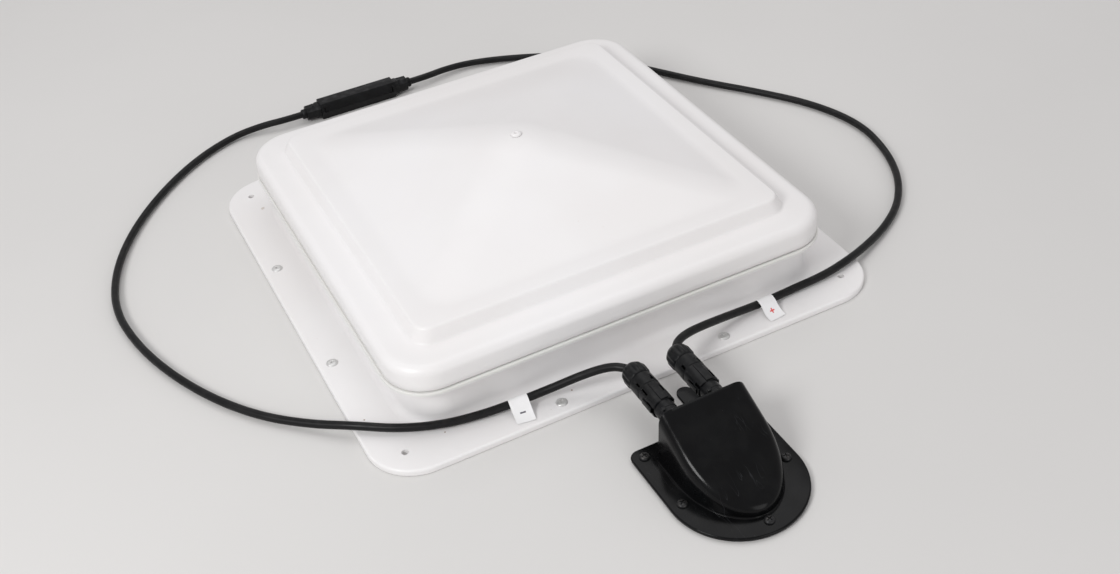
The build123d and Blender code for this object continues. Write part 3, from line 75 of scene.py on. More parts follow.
# Cords: the two leads, from their plugs to the fuse holder behind the vent
minusLead = {"length": 0.884, "route": [
    (-23.5, -235.5, 32), (-28.4, -228, 31.8), (-36, -222.6, 30.9), (-46, -218.2, 28.6), (-59, -213.4, 24.4),
    (-73.5, -208.6, 19.2), (-89, -203.8, 14.2), (-106, -200.2, 10.8), (-134, -197.6, 9.6),
    (-166, -191.5, 9.6), (-197, -178, 10.2),
    (-225, -158, 11), (-252, -134, 6), (-283, -103, 4.2), (-311, -62, 4), (-334, -12, 4.2), (-349, 40, 4),
    (-355, 95, 4.2), (-343, 150, 4), (-316, 204, 4.2), (-276, 255, 4), (-229, 296, 4.2), (-183, 319, 4.4),
    (-150, 317, 7.6), (-129, 312, 9), (-110, 312, 9)]}
plusLead = {"length": 0.977, "route": [
    (15.5, -235.5, 32), (20.4, -228, 31.8), (28, -222.6, 31.2), (38.5, -218.6, 29.8), (52, -214.8, 26.8),
    (67, -210.6, 22.6), (83, -206.2, 18), (100, -202.4, 13.6), (120, -199.6, 10.4), (152, -197, 9.6),
    (186, -196, 10), (214, -190.5, 11), (240, -179, 6.6), (272, -164, 4.2), (305, -142, 4),
    (333, -108, 4.2), (352, -64, 4), (360, -13, 4.2), (344, 43, 4), (312, 93, 4.2), (277, 141, 4),
    (246, 190, 4.2), (216, 240, 4), (174, 281, 4.2), (124, 308, 4), (84, 320, 5), (54, 317, 7.8),
    (33, 312, 9), (13, 312, 9)]}
cableDiameter = 6.8


def addLead(name, lead):
    curve = bpy.data.curves.new(name, "CURVE")
    curve.dimensions = "3D"
    line = curve.splines.new("NURBS")
    line.points.add(len(lead["route"]) - 1)
    for point, place in zip(line.points, lead["route"]):
        point.co = (place[0] * mm, place[1] * mm, place[2] * mm, 1)
        point.radius = cableDiameter * mm / 2  # so the curve's box is the cable's own
    line.order_u = 3
    line.use_endpoint_u = True
    line.resolution_u = 12
    curve.bevel_depth = 1.0
    curve.bevel_resolution = 6
    curve.use_fill_caps = True
    cable = bpy.data.objects.new(name, curve)
    scene.collection.objects.link(cable)
    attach(cable, "base")
    return cable


minusCable = addLead("minusCable", minusLead)
plusCable = addLead("plusCable", plusLead)
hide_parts("lead_minus")
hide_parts("lead_plus")
print("leads laid")


# Materials
def toLinear(value):
    share = value / 255
    return share / 12.92 if share <= 0.04045 else ((share + 0.055) / 1.055) ** 2.4


def tone(red, green, blue):
    return (toLinear(red), toLinear(green), toLinear(blue), 1.0)


def wire(tree, source, socket):
    if isinstance(source, bpy.types.NodeSocket):
        tree.links.new(source, socket)
    else:
        socket.default_value = source


def calc(tree, operation, *values):
    node = tree.nodes.new("ShaderNodeMath")
    node.operation = operation
    for value, socket in zip(values, node.inputs):
        wire(tree, value, socket)
    return node.outputs[0]


def between(tree, value, low, high, outLow=0.0, outHigh=1.0):
    node = tree.nodes.new("ShaderNodeMapRange")
    node.interpolation_type = "SMOOTHSTEP"
    for source, socket in zip((value, low, high, outLow, outHigh), node.inputs):
        wire(tree, source, socket)
    return node.outputs[0]


def blendTones(tree, share, first, second):
    node = tree.nodes.new("ShaderNodeMix")
    node.data_type = "RGBA"
    wire(tree, share, node.inputs[0])
    wire(tree, first, node.inputs[6])
    wire(tree, second, node.inputs[7])
    return node.outputs[2]


def placesOf(tree, stretch=(1, 1, 1)):
    mapping = tree.nodes.new("ShaderNodeMapping")
    mapping.inputs["Scale"].default_value = stretch
    coordinates = tree.nodes.new("ShaderNodeTexCoord")
    tree.links.new(coordinates.outputs["Object"], mapping.inputs["Vector"])
    return mapping.outputs[0]


def noise(tree, scale, detail=4.0, stretch=(1, 1, 1)):
    node = tree.nodes.new("ShaderNodeTexNoise")
    tree.links.new(placesOf(tree, stretch), node.inputs["Vector"])
    node.inputs["Scale"].default_value = scale
    node.inputs["Detail"].default_value = detail
    return node.outputs[0]


def cellsOf(tree, scale):
    cells = tree.nodes.new("ShaderNodeTexVoronoi")
    tree.links.new(placesOf(tree), cells.inputs["Vector"])
    cells.inputs["Scale"].default_value = scale
    draws = tree.nodes.new("ShaderNodeSeparateColor")
    tree.links.new(cells.outputs["Color"], draws.inputs[0])
    return cells.outputs["Distance"], draws.outputs


def specks(tree, scale, size, share):
    away, draws = cellsOf(tree, scale)
    near = between(tree, away, size * 0.5, size, 1.0, 0.0)
    return calc(tree, "MULTIPLY", near, calc(tree, "LESS_THAN", draws[0], share))


patchEdge = (0.3, 0.7)  # the noise values between which one patch passes into the next
wornEdge = (0.52, 0.66)  # the same for the stretches that are scratched
dustEdge = (0.42, 0.72)  # the same for dust
scratchWidth = 0.012


def spotAt(tree, place, size):
    node = tree.nodes.new("ShaderNodeVectorMath")
    node.operation = "DISTANCE"
    tree.links.new(placesOf(tree), node.inputs[0])
    node.inputs[1].default_value = Vector(place) * mm
    uneven = 0.35 * size * mm
    ragged = between(tree, noise(tree, 900 / size, 3.0), *patchEdge, -uneven, uneven)
    away = calc(tree, "ADD", node.outputs["Value"], ragged)
    return between(tree, away, size * mm * 0.45, size * mm, 1.0, 0.0)


def painted(tree, colour, mask, strength, over):
    return blendTones(tree, calc(tree, "MULTIPLY", mask, strength), colour, tone(*over))


def spangled(tree, colour, look):
    _, draws = cellsOf(tree, look["spangle"])
    return painted(tree, colour, draws[1], look["spangleShare"], look["spangleTone"])


def scratched(tree, colour, look):
    lines = noise(tree, look["scratch"], 2.0, look["scratchStretch"])
    away = calc(tree, "ABSOLUTE", calc(tree, "SUBTRACT", lines, 0.5))
    thin = between(tree, away, 0.0, scratchWidth, 1.0, 0.0)
    worn = between(tree, noise(tree, look["scratch"] * 0.6, 3.0), *wornEdge)
    mask = calc(tree, "MULTIPLY", thin, worn)
    return painted(tree, colour, mask, look["scratchShare"], look["scratchTone"])


def dusted(tree, colour, look):
    facing = tree.nodes.new("ShaderNodeNewGeometry")
    parts = tree.nodes.new("ShaderNodeSeparateXYZ")
    tree.links.new(facing.outputs["Normal"], parts.inputs[0])
    upward = between(tree, parts.outputs[2], 0.2, 1.0)
    lying = between(tree, noise(tree, look["dustScale"], 8.0), *dustEdge)
    return painted(tree, colour, calc(tree, "MULTIPLY", upward, lying), look["dust"], look["dustTone"])


def bumpsOf(tree, look, stretch):
    grain = tree.nodes.new("ShaderNodeBump")
    grain.inputs["Strength"].default_value = look["grain"]
    grain.inputs["Distance"].default_value = look.get("grainDepth", 0.0001)
    tree.links.new(noise(tree, look["grainScale"], 5.0, stretch), grain.inputs["Height"])
    if "wave" in look:
        swell = tree.nodes.new("ShaderNodeBump")
        swell.inputs["Strength"].default_value = look["wave"]
        swell.inputs["Distance"].default_value = 0.001
        tree.links.new(noise(tree, look["waveScale"], 1.0), swell.inputs["Height"])
        tree.links.new(swell.outputs[0], grain.inputs["Normal"])
    return grain.outputs[0]


# Each look: two tones with the scale of their patches, a roughness range and a fine surface.
# Specks are (scale, size, share, tone, strength), spots (place, size, tone, strength)
def makeSurface(name, look):
    material = bpy.data.materials.new(name)
    material.use_nodes = True
    tree = material.node_tree
    tree.nodes.clear()
    output = tree.nodes.new("ShaderNodeOutputMaterial")
    shader = tree.nodes.new("ShaderNodeBsdfPrincipled")
    tree.links.new(shader.outputs[0], output.inputs[0])
    stretch = look.get("stretch", (1, 1, 1))
    patches = between(tree, noise(tree, look["patchScale"], 5.0), *patchEdge)
    colour = blendTones(tree, patches, tone(*look["tone"]), tone(*look["patchTone"]))
    if "spangle" in look:
        colour = spangled(tree, colour, look)
    for scale, size, share, over, strength in look.get("specks", ()):
        colour = painted(tree, colour, specks(tree, scale, size, share), strength, over)
    for place, size, over, strength in look.get("spots", ()):
        colour = painted(tree, colour, spotAt(tree, place, size), strength, over)
    if "scratch" in look:
        colour = scratched(tree, colour, look)
    if "dust" in look:
        colour = dusted(tree, colour, look)
    tree.links.new(colour, shader.inputs["Base Color"])
    sheen = noise(tree, look["patchScale"] * 3.1, 6.0, stretch)
    tree.links.new(between(tree, sheen, *patchEdge, *look["rough"]), shader.inputs["Roughness"])
    tree.links.new(bumpsOf(tree, look, stretch), shader.inputs["Normal"])
    for socket, value in look.get("plain", {}).items():
        shader.inputs[socket].default_value = value
    return material


looks = {
    "shell_white": {
        "tone": (243, 242, 242), "patchTone": (239, 237, 236), "patchScale": 5, "rough": (0.3, 0.42),
        "grainScale": 900, "grain": 0.06, "wave": 0.12, "waveScale": 22,
        "specks": [(70, 0.035, 0.10, (196, 178, 158), 0.5), (190, 0.05, 0.06, (214, 202, 190), 0.45)],
        "spots": [
            ((-60.6, -205, 5), 1.0, (150, 118, 92), 0.8), ((-165, -195.6, 5), 0.9, (150, 120, 98), 0.7),
            ((-214.2, -150.5, 5), 1.1, (140, 104, 76), 0.8), ((-196, 174, 5), 2.4, (186, 170, 152), 0.5),
            ((-174.4, -193.9, 62), 0.9, (150, 118, 92), 0.7),
            ((-182.2, -193.9, 50), 0.8, (150, 118, 92), 0.7)],
        "plain": {"Specular IOR Level": 0.5, "IOR": 1.49}},
    "trim_white": {
        "tone": (236, 236, 233), "patchTone": (229, 228, 224), "patchScale": 11, "rough": (0.42, 0.56),
        "grainScale": 1500, "grain": 0.14, "specks": [(160, 0.05, 0.07, (200, 190, 176), 0.4)]},
    "seal_rubber": {
        "tone": (27, 27, 28), "patchTone": (40, 39, 38), "patchScale": 30, "rough": (0.58, 0.78),
        "grainScale": 1300, "grain": 0.3, "dust": 0.25, "dustScale": 120, "dustTone": (110, 106, 98)},
    "zinc_steel": {
        "tone": (176, 180, 184), "patchTone": (160, 163, 166), "patchScale": 14, "rough": (0.26, 0.42),
        "grainScale": 700, "grain": 0.1, "spangle": 130, "spangleShare": 0.35,
        "spangleTone": (206, 209, 212), "scratch": 60, "scratchStretch": (1, 7, 1), "scratchShare": 0.4,
        "scratchTone": (222, 224, 226),
        "plain": {"Metallic": 0.9}},
    "rivet_metal": {
        "tone": (226, 226, 225), "patchTone": (206, 206, 204), "patchScale": 120, "rough": (0.3, 0.46),
        "grainScale": 2600, "grain": 0.2, "scratch": 500, "scratchStretch": (1, 4, 1), "scratchShare": 0.5,
        "scratchTone": (240, 240, 239), "plain": {"Metallic": 0.55}},
    "screw_steel": {
        "tone": (190, 191, 190), "patchTone": (170, 168, 160), "patchScale": 90, "rough": (0.26, 0.4),
        "grainScale": 1900, "grain": 0.15, "plain": {"Metallic": 1.0}},
    "screw_black": {
        "tone": (30, 31, 33), "patchTone": (46, 46, 47), "patchScale": 140, "rough": (0.32, 0.5),
        "grainScale": 2200, "grain": 0.2, "dust": 0.25, "dustScale": 400, "dustTone": (120, 116, 110),
        "plain": {"Metallic": 0.5}},
    "case_metal": {
        "tone": (158, 160, 162), "patchTone": (144, 145, 146), "patchScale": 26, "rough": (0.5, 0.66),
        "grainScale": 620, "grain": 0.45, "grainDepth": 0.0002, "plain": {"Metallic": 0.85}},
    "gear_brass": {
        "tone": (206, 172, 98), "patchTone": (186, 148, 80), "patchScale": 60, "rough": (0.22, 0.36),
        "grainScale": 900, "grain": 0.15, "stretch": (1, 1, 8), "plain": {"Metallic": 1.0}},
    "roller_nylon": {
        "tone": (226, 221, 206), "patchTone": (216, 208, 190), "patchScale": 80, "rough": (0.38, 0.5),
        "grainScale": 1500, "grain": 0.15},
    "net_grey": {
        "tone": (72, 73, 76), "patchTone": (88, 88, 90), "patchScale": 40, "rough": (0.45, 0.6),
        "grainScale": 1600, "grain": 0.2, "dust": 0.4, "dustScale": 160, "dustTone": (150, 146, 138)},
    "housing_black": {
        "tone": (9, 9, 10), "patchTone": (14, 15, 16), "patchScale": 24, "rough": (0.13, 0.22),
        "grainScale": 1500, "grain": 0.1, "wave": 0.06, "waveScale": 60,
        "specks": [(420, 0.06, 0.05, (120, 118, 114), 0.4)],
        "scratch": 30, "scratchStretch": (5, 1, 1), "scratchShare": 0.2, "scratchTone": (96, 98, 102),
        "dust": 0.015, "dustScale": 70, "dustTone": (110, 110, 108), "plain": {"Specular IOR Level": 0.16}},
    "plug_black": {
        "tone": (13, 14, 15), "patchTone": (19, 20, 22), "patchScale": 60, "rough": (0.28, 0.42),
        "grainScale": 2000, "grain": 0.16, "dust": 0.05, "dustScale": 240, "dustTone": (110, 108, 104),
        "plain": {"Specular IOR Level": 0.2}},
    "holder_black": {
        "tone": (13, 13, 14), "patchTone": (19, 20, 21), "patchScale": 50, "rough": (0.3, 0.44),
        "grainScale": 1500, "grain": 0.14, "dust": 0.2, "dustScale": 130, "dustTone": (110, 110, 112),
        "plain": {"Specular IOR Level": 0.2}},
    "cable_black": {
        "tone": (14, 14, 15), "patchTone": (22, 22, 23), "patchScale": 45, "rough": (0.34, 0.48),
        "grainScale": 1300, "grain": 0.2, "specks": [(260, 0.06, 0.08, (128, 124, 118), 0.4)],
        "dust": 0.05, "dustScale": 150, "dustTone": (110, 108, 104), "plain": {"Specular IOR Level": 0.24}},
    "tag_paper": {
        "tone": (247, 247, 248), "patchTone": (241, 241, 241), "patchScale": 70, "rough": (0.62, 0.78),
        "grainScale": 2600, "grain": 0.25, "specks": [(500, 0.09, 0.12, (196, 192, 186), 0.35)]},
    "fuse_body": {
        "tone": (226, 224, 214), "patchTone": (214, 210, 198), "patchScale": 90, "rough": (0.14, 0.24),
        "grainScale": 1400, "grain": 0.08},
    "contact_metal": {
        "tone": (206, 196, 170), "patchTone": (182, 168, 136), "patchScale": 90, "rough": (0.22, 0.36),
        "grainScale": 1500, "grain": 0.15, "plain": {"Metallic": 1.0}},
}
surfaces = {name: makeSurface(name, look) for name, look in looks.items()}
for part in frame["record"]["subparts"]:
    meshOf = frame["nodes"][part["node"]].data
    meshOf.materials.clear()
    meshOf.materials.append(surfaces[part["material_slot"]])
for cable in (minusCable, plusCable):
    cable.data.materials.append(surfaces["cable_black"])
print("materials made", len(surfaces))


# Mesh helpers: loops of points joined into skins
def skin(loops, startCap=True, closed=False):
    count = len(loops[0])
    points = [point for loop in loops for point in loop]
    faces = []
    for row in range(len(loops) if closed else len(loops) - 1):
        below = row * count
        above = (row + 1) % len(loops) * count
        for step in range(count):
            after = (step + 1) % count
            faces.append((below + step, below + after, above + after, above + step))
    if closed:
        return points, faces
    if startCap:
        faces.append(tuple(reversed(range(count))))
    faces.append(tuple(range(len(points) - count, len(points))))
    return points, faces


def gathered(shapes):
    points, faces = [], []
    for shapePoints, shapeFaces in shapes:
        faces += [tuple(index + len(points) for index in face) for face in shapeFaces]
        points += shapePoints
    return points, faces


def aligned(point, at, axis):
    across, along, height = point
    if axis == "x":
        return at[0] + height, at[1] + across, at[2] + along
    if axis == "y":
        return at[0] + across, at[1] + height, at[2] + along
    return at[0] + across, at[1] + along, at[2] + height


def turned(profile, at, axis="z", count=48):
    angles = [2 * pi * step / count for step in range(count)]
    return skin([[aligned((radius * cos(angle), radius * sin(angle), height), at, axis) for angle in angles]
                 for radius, height in profile])


def bar(centre, size):
    low = [c - s / 2 for c, s in zip(centre, size)]
    high = [c + s / 2 for c, s in zip(centre, size)]
    loops = [[(low[0], low[1], z), (high[0], low[1], z), (high[0], high[1], z), (low[0], high[1], z)]
             for z in (low[2], high[2])]
    return skin(loops)


def meshFrom(name, shape):
    points, faces = shape
    mesh = bpy.data.meshes.new(name)
    mesh.from_pydata([Vector(point) * mm for point in points], [], faces)
    work = bmesh.new()
    work.from_mesh(mesh)
    bmesh.ops.remove_doubles(work, verts=work.verts, dist=1e-6)
    bmesh.ops.recalc_face_normals(work, faces=work.faces)
    work.to_mesh(mesh)
    work.free()
    return mesh


def rounded(mesh, width, sharpAbove=30):
    work = bmesh.new()
    work.from_mesh(mesh)
    sharp = [edge for edge in work.edges
             if edge.is_manifold and degrees(edge.calc_face_angle(0)) > sharpAbove]
    bmesh.ops.bevel(work, geom=sharp, offset=width * mm, segments=3, profile=0.5, affect="EDGES",
                    clamp_overlap=True)
    work.to_mesh(mesh)
    work.free()
    return mesh


def carved(mesh, cutters):
    body = bpy.data.objects.new("carveBody", mesh)
    scene.collection.objects.link(body)
    tools = []
    for cutter in cutters:
        toolMesh = cutter if isinstance(cutter, bpy.types.Mesh) else meshFrom("carveTool", cutter)
        tool = bpy.data.objects.new("carveTool", toolMesh)
        scene.collection.objects.link(tool)
        cut = body.modifiers.new("cut", "BOOLEAN")
        cut.operation = "DIFFERENCE"
        cut.solver = "EXACT"
        cut.object = tool
        tools.append(tool)
    bpy.context.view_layer.update()
    result = bpy.data.meshes.new_from_object(body.evaluated_get(bpy.context.evaluated_depsgraph_get()))
    for used in [body] + tools:
        bpy.data.objects.remove(used)
    return result


def joined(name, meshes):
    work = bmesh.new()
    for mesh in meshes:
        work.from_mesh(mesh)
    result = bpy.data.meshes.new(name)
    work.to_mesh(result)
    work.free()
    return result


def copiesOf(mesh, turns):
    copies = []
    for turn in turns:
        copy = mesh.copy()
        copy.transform(turn)
        copies.append(copy)
    return joined(mesh.name + "Copies", copies)


def addPiece(name, mesh, body, slotName, replaced=(), sharp=35):
    for face in mesh.polygons:
        face.use_smooth = True
    mesh.set_sharp_from_angle(angle=radians(sharp))
    mesh.materials.clear()
    mesh.materials.append(surfaces[slotName])
    piece = bpy.data.objects.new(name, mesh)
    scene.collection.objects.link(piece)
    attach(piece, body)
    if replaced:
        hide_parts(*replaced)
    return piece


def squareLoop(half, radius, height, perCorner=14, perSide=24):
    core = half - radius
    points = []
    for turn, (x, y) in enumerate(((core, core), (-core, core), (-core, -core), (core, -core))):
        for step in range(perCorner + 1):
            angle = radians(90 * turn + 90 * step / perCorner)
            points.append((x + radius * cos(angle), y + radius * sin(angle), height))
        lastX, lastY, _ = points[-1]
        ends = ((-core, half), (-half, -core), (core, -half), (half, core))[turn]
        for step in range(1, perSide):
            share = step / perSide
            points.append((lastX + (ends[0] - lastX) * share, lastY + (ends[1] - lastY) * share, height))
    return points


def arcSteps(centreHalf, centreHeight, radius, start, end, steps):
    return [(centreHalf + radius * cos(radians(start + (end - start) * step / steps)),
             centreHeight + radius * sin(radians(start + (end - start) * step / steps)))
            for step in range(steps + 1)]


# Lid: skirt, shoulder, raised step and low pyramid dome, one formed sheet
lidForm = {
    "wall": 2.6, "half": 193.9, "corner": 37.0, "skirtZ": 46.4, "edge": 0.5, "skirtRun": 6.0,
    "shoulder": 8.0, "ledgeZ": 67.5, "ledgeInset": 14.0, "ledgeCorner": 22.0, "stepRoot": 166.5,
    "stepFoot": 2.5, "stepTop": 163.2, "stepCorner": 15.0, "topCorner": 14.0, "stepZ": 79.0,
    "stepRound": 3.0, "domeHalf": 142.2, "domeCorner": 23.0, "domeBend": 5.0, "bendGrowth": 0.2,
    "cornerGrowth": 9.0, "domePadHalf": 13.0, "crown": 30.0, "peakHalf": 0.3, "domeZ": 111.0}


def skirtLoops(form):
    half, corner, edge, shoulder = form["half"], form["corner"], form["edge"], form["shoulder"]
    loops = [(half - edge, corner - edge, form["skirtZ"]), (half, corner, form["skirtZ"] + edge),
             (half, corner, form["skirtZ"] + form["skirtRun"])]
    for reach, height in arcSteps(half - shoulder, form["ledgeZ"] - shoulder, shoulder,
                                  start=0, end=90, steps=10):
        loops.append((reach, corner - (half - reach), height))
    return loops + [(half - form["ledgeInset"], form["ledgeCorner"], form["ledgeZ"])]


def stepLoops(form):
    root, foot, top, bend = form["stepRoot"], form["stepFoot"], form["stepTop"], form["stepRound"]
    loops = []
    for reach, height in arcSteps(root + foot, form["ledgeZ"] + foot, foot, start=270, end=188, steps=6):
        loops.append((reach, form["stepCorner"] + reach - root, height))
    for reach, height in arcSteps(top - bend, form["stepZ"] - bend, bend, start=12, end=90, steps=6):
        loops.append((reach, form["topCorner"] - (top - reach), height))
    return loops


def domeLoops(form, bendSteps=8, slopeSteps=14, crownSteps=8):
    base, bend, crown, stepZ = form["domeHalf"], form["domeBend"], form["crown"], form["stepZ"]
    slope = (form["domeZ"] - stepZ) / (base - form["domePadHalf"])
    loops = []
    for step in range(bendSteps + 1):
        share = step / bendSteps
        reach = base + bend - 2 * bend * share
        corner = form["domeCorner"] - (reach - base) * form["bendGrowth"]
        loops.append((reach, corner, stepZ + slope * bend * share * share))
    for step in range(1, slopeSteps + 1):
        share = step / slopeSteps
        reach = base - bend + (crown - base + bend) * share
        corner = form["domeCorner"] + bend * form["bendGrowth"] + form["cornerGrowth"] * share * share
        loops.append((reach, min(reach, corner), stepZ + slope * (base - reach)))
    for step in range(1, crownSteps + 1):
        share = step / crownSteps
        reach = crown * (1 - share) + form["peakHalf"] * share
        rise = slope * crown / 2 * (1 - (reach / crown) ** 2)
        loops.append((reach, reach, stepZ + slope * (base - crown) + rise))
    return loops


lidProfile = skirtLoops(lidForm) + stepLoops(lidForm) + domeLoops(lidForm)
lidMesh = meshFrom("lidSkin", skin([squareLoop(*loop) for loop in lidProfile], startCap=False))
lidSkin = addPiece("lidSkin", lidMesh, "lid", "shell_white", ["lid_shell"], sharp=60)
wall = lidSkin.modifiers.new("wall", "SOLIDIFY")
wall.thickness = lidForm["wall"] * mm
wall.offset = -1
wall.use_even_offset = True
print("lid formed")

# Blind rivets: eight round the flange, one through the middle of the lid
rivet = {"row": 213.3, "apart": 74.0, "flangeZ": 5.0, "profile": [
    (4.75, -0.15), (4.8, 0.2), (4.62, 0.68), (4.1, 1.08), (3.3, 1.36), (2.4, 1.48), (1.75, 1.5),
    (1.42, 1.38), (1.3, 1.1), (1.28, 0.3), (1.05, 0.05), (0.4, 0.12), (0.02, 0.16)]}
rivetPlaces = [(side * rivet["apart"], end * rivet["row"]) for end in (1, -1) for side in (1, -1)]
rivetPlaces += [(y, x) for x, y in rivetPlaces]
rivetMesh = meshFrom("flangeRivets", gathered([turned(rivet["profile"], (x, y, rivet["flangeZ"]))
                                               for x, y in rivetPlaces]))
addPiece("flangeRivets", rivetMesh, "base", "rivet_metal", ["flange_rivets"], sharp=50)
domeRivetMesh = meshFrom("domeRivet", turned(rivet["profile"], (0, 0, lidForm["domeZ"])))
addPiece("domeRivet", domeRivetMesh, "lid", "shell_white", ["centre_rivet"], sharp=50)
print("rivets set")

# Cable entry housing: a wedge hood with a flat rear face on a flat plate, hollow below
housing = {"x": -4.0, "plateHalf": 53.7, "plateRear": -286.5, "plateNose": -403.7, "plateCorner": 8.0,
           "plateTop": 4.0, "plateRound": 1.3, "plateFoot": 0.3, "bottom": 1.0, "holeInset": 1.6,
           "hoodX": -3.2, "hoodHalf": 38.0, "hoodRear": -304.0, "hoodNose": -387.4, "hoodCorner": 1.5,
           "noseRun": 56.4, "rearTop": 50.5, "noseTop": 12.0, "lean": 2.0, "wall": 2.6, "rim": 10.5,
           "rearRim": 0.4, "noseRim": 6.2, "softEdge": 0.8, "past": 18.0, "hollowFoot": [(0, -3.0)],
           "foot": [(0.9, 3.0), (0.9, 4.02), (0.35, 4.2), (0.1, 4.7)],
           "cutter": (200.0, 100.0, 140.0), "cutterZ": 30.0}


# An outline's places are (x, y, outward x, outward y)
def wedgeOutline(x, half, rear, nose, corner, noseRun, cornerSteps=10, rearSteps=16, sideSteps=18,
                 noseSteps=60):
    noseCentre = nose + noseRun
    points = []

    def arc(centreX, centreY, start, end):
        for step in range(cornerSteps):
            angle = radians(start + (end - start) * step / cornerSteps)
            outX = cos(angle)
            outY = sin(angle)
            points.append((centreX + corner * outX, centreY + corner * outY, outX, outY))

    def run(startX, startY, endX, endY, outX, outY, steps):
        for step in range(steps):
            share = step / steps
            points.append((startX + (endX - startX) * share, startY + (endY - startY) * share, outX, outY))

    arc(x + half - corner, rear - corner, 0, 90)
    run(x + half - corner, rear, x - half + corner, rear, 0, 1, rearSteps)
    arc(x - half + corner, rear - corner, 90, 180)
    run(x - half, rear - corner, x - half, noseCentre, -1, 0, sideSteps)
    for step in range(noseSteps):
        angle = pi + pi * step / noseSteps
        outward = Vector((cos(angle) / half, sin(angle) / noseRun)).normalized()
        points.append((x + half * cos(angle), noseCentre + noseRun * sin(angle), outward.x, outward.y))
    run(x + half, noseCentre, x + half, rear - corner, 1, 0, sideSteps)
    return points


def slopeAt(y):
    fall = (housing["rearTop"] - housing["noseTop"]) / (housing["hoodRear"] - housing["hoodNose"])
    return housing["rearTop"] - fall * (housing["hoodRear"] - y)


def facesRear(outY):
    return outY > 0.5


def leanOf(height, outY):
    return 0 if facesRear(outY) else (height - housing["bottom"]) * tan(radians(housing["lean"]))


def pushedIn(place, inset, height):
    x, y, outX, outY = place
    return x - outX * inset, y - outY * inset, height


# The wall leans in under a top that slopes, so a few rounds settle the height where the two meet
def topAndRim(place, inset, rounds=12):
    _, y, _, outY = place
    top = slopeAt(y)
    for _ in range(rounds):
        top = slopeAt(y - outY * leanOf(top, outY)) - inset
    if facesRear(outY):
        return top, housing["rearRim"]
    return top, housing["rim"] + (housing["noseRim"] - housing["rim"]) * max(0.0, -outY) ** 3 - inset


def hoodLoops(inset, foot, wallSteps=8, rimSteps=10):
    outline = wedgeOutline(housing["hoodX"], housing["hoodHalf"] - inset,
                           housing["hoodRear"] + housing["past"], housing["hoodNose"] + inset,
                           housing["hoodCorner"], housing["noseRun"] - inset)
    tops = [topAndRim(place, inset) for place in outline]
    loops = [[pushedIn(place, -flare, height) for place in outline] for flare, height in foot]
    start = foot[-1][1]
    for step in range(1, wallSteps):
        loop = []
        for place, (top, rim) in zip(outline, tops):
            height = start + (top - rim - start) * step / wallSteps
            loop.append(pushedIn(place, leanOf(height, place[3]), height))
        loops.append(loop)
    for step in range(rimSteps + 1):
        share = step / rimSteps
        loop = []
        for place, (top, rim) in zip(outline, tops):
            low = Vector(pushedIn(place, leanOf(top - rim, place[3]), top - rim))
            edge = Vector(pushedIn(place, leanOf(top, place[3]), top))
            x, y, _ = pushedIn(place, leanOf(top, place[3]) + rim, 0)
            high = Vector((x, y, slopeAt(y) - inset))
            loop.append(tuple(low * (1 - share) ** 2 + edge * 2 * share * (1 - share) + high * share ** 2))
        loops.append(loop)
    return loops


def beyond(y):
    return bar((housing["x"], y + housing["cutter"][1] / 2, housing["cutterZ"]), housing["cutter"])


def makeHood():
    hollow = carved(meshFrom("hollow", skin(hoodLoops(housing["wall"], housing["hollowFoot"]))),
                    [beyond(housing["hoodRear"] - housing["wall"])])
    hood = carved(meshFrom("hood", skin(hoodLoops(0, housing["foot"]))), [beyond(housing["hoodRear"])])
    return carved(rounded(hood, housing["softEdge"], sharpAbove=60), [hollow])


def makePlate(roundSteps=6):
    outline = wedgeOutline(housing["x"], housing["plateHalf"], housing["plateRear"], housing["plateNose"],
                           housing["plateCorner"], housing["plateHalf"])
    inset = housing["holeInset"]
    hole = wedgeOutline(housing["hoodX"], housing["hoodHalf"] - inset, housing["hoodRear"] - inset,
                        housing["hoodNose"] + inset, housing["hoodCorner"], housing["noseRun"] - inset)
    top, bend = housing["plateTop"], housing["plateRound"]
    loops = [[pushedIn(place, housing["plateFoot"], housing["bottom"]) for place in outline]]
    for step in range(roundSteps + 1):
        angle = radians(90 * step / roundSteps)
        loops.append([pushedIn(place, bend * (1 - cos(angle)), top - bend * (1 - sin(angle)))
                      for place in outline])
    for height in (top, housing["bottom"]):
        loops.append([pushedIn(place, 0, height) for place in hole])
    return meshFrom("plate", skin(loops, closed=True))


# A round-ended tab sticks out of the hood's rear face
tongue = {"half": 6.5, "z": 33.5, "thick": 3.0, "end": -275.5, "root": -309.0, "softEdge": 0.5}


def makeTongue(steps=18):
    half, end = tongue["half"], tongue["end"]
    angles = [radians(180 * step / steps) for step in range(steps + 1)]
    outline = [(housing["x"] + half * cos(angle), end - half + half * sin(angle)) for angle in angles]
    outline += [(housing["x"] - half, tongue["root"]), (housing["x"] + half, tongue["root"])]
    solid = skin([[(x, y, z) for x, y in outline] for z in (tongue["z"], tongue["z"] + tongue["thick"])])
    return rounded(meshFrom("tongueTab", solid), tongue["softEdge"], sharpAbove=60)


shellMesh = joined("entryShell", [makeHood(), makePlate()])
tongueTab = addPiece("tongueTab", makeTongue(), "base", "housing_black")
addPiece("entryShell", shellMesh, "base", "housing_black", ["entry_housing"], sharp=40)
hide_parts("entry_housing")
print("housing formed")

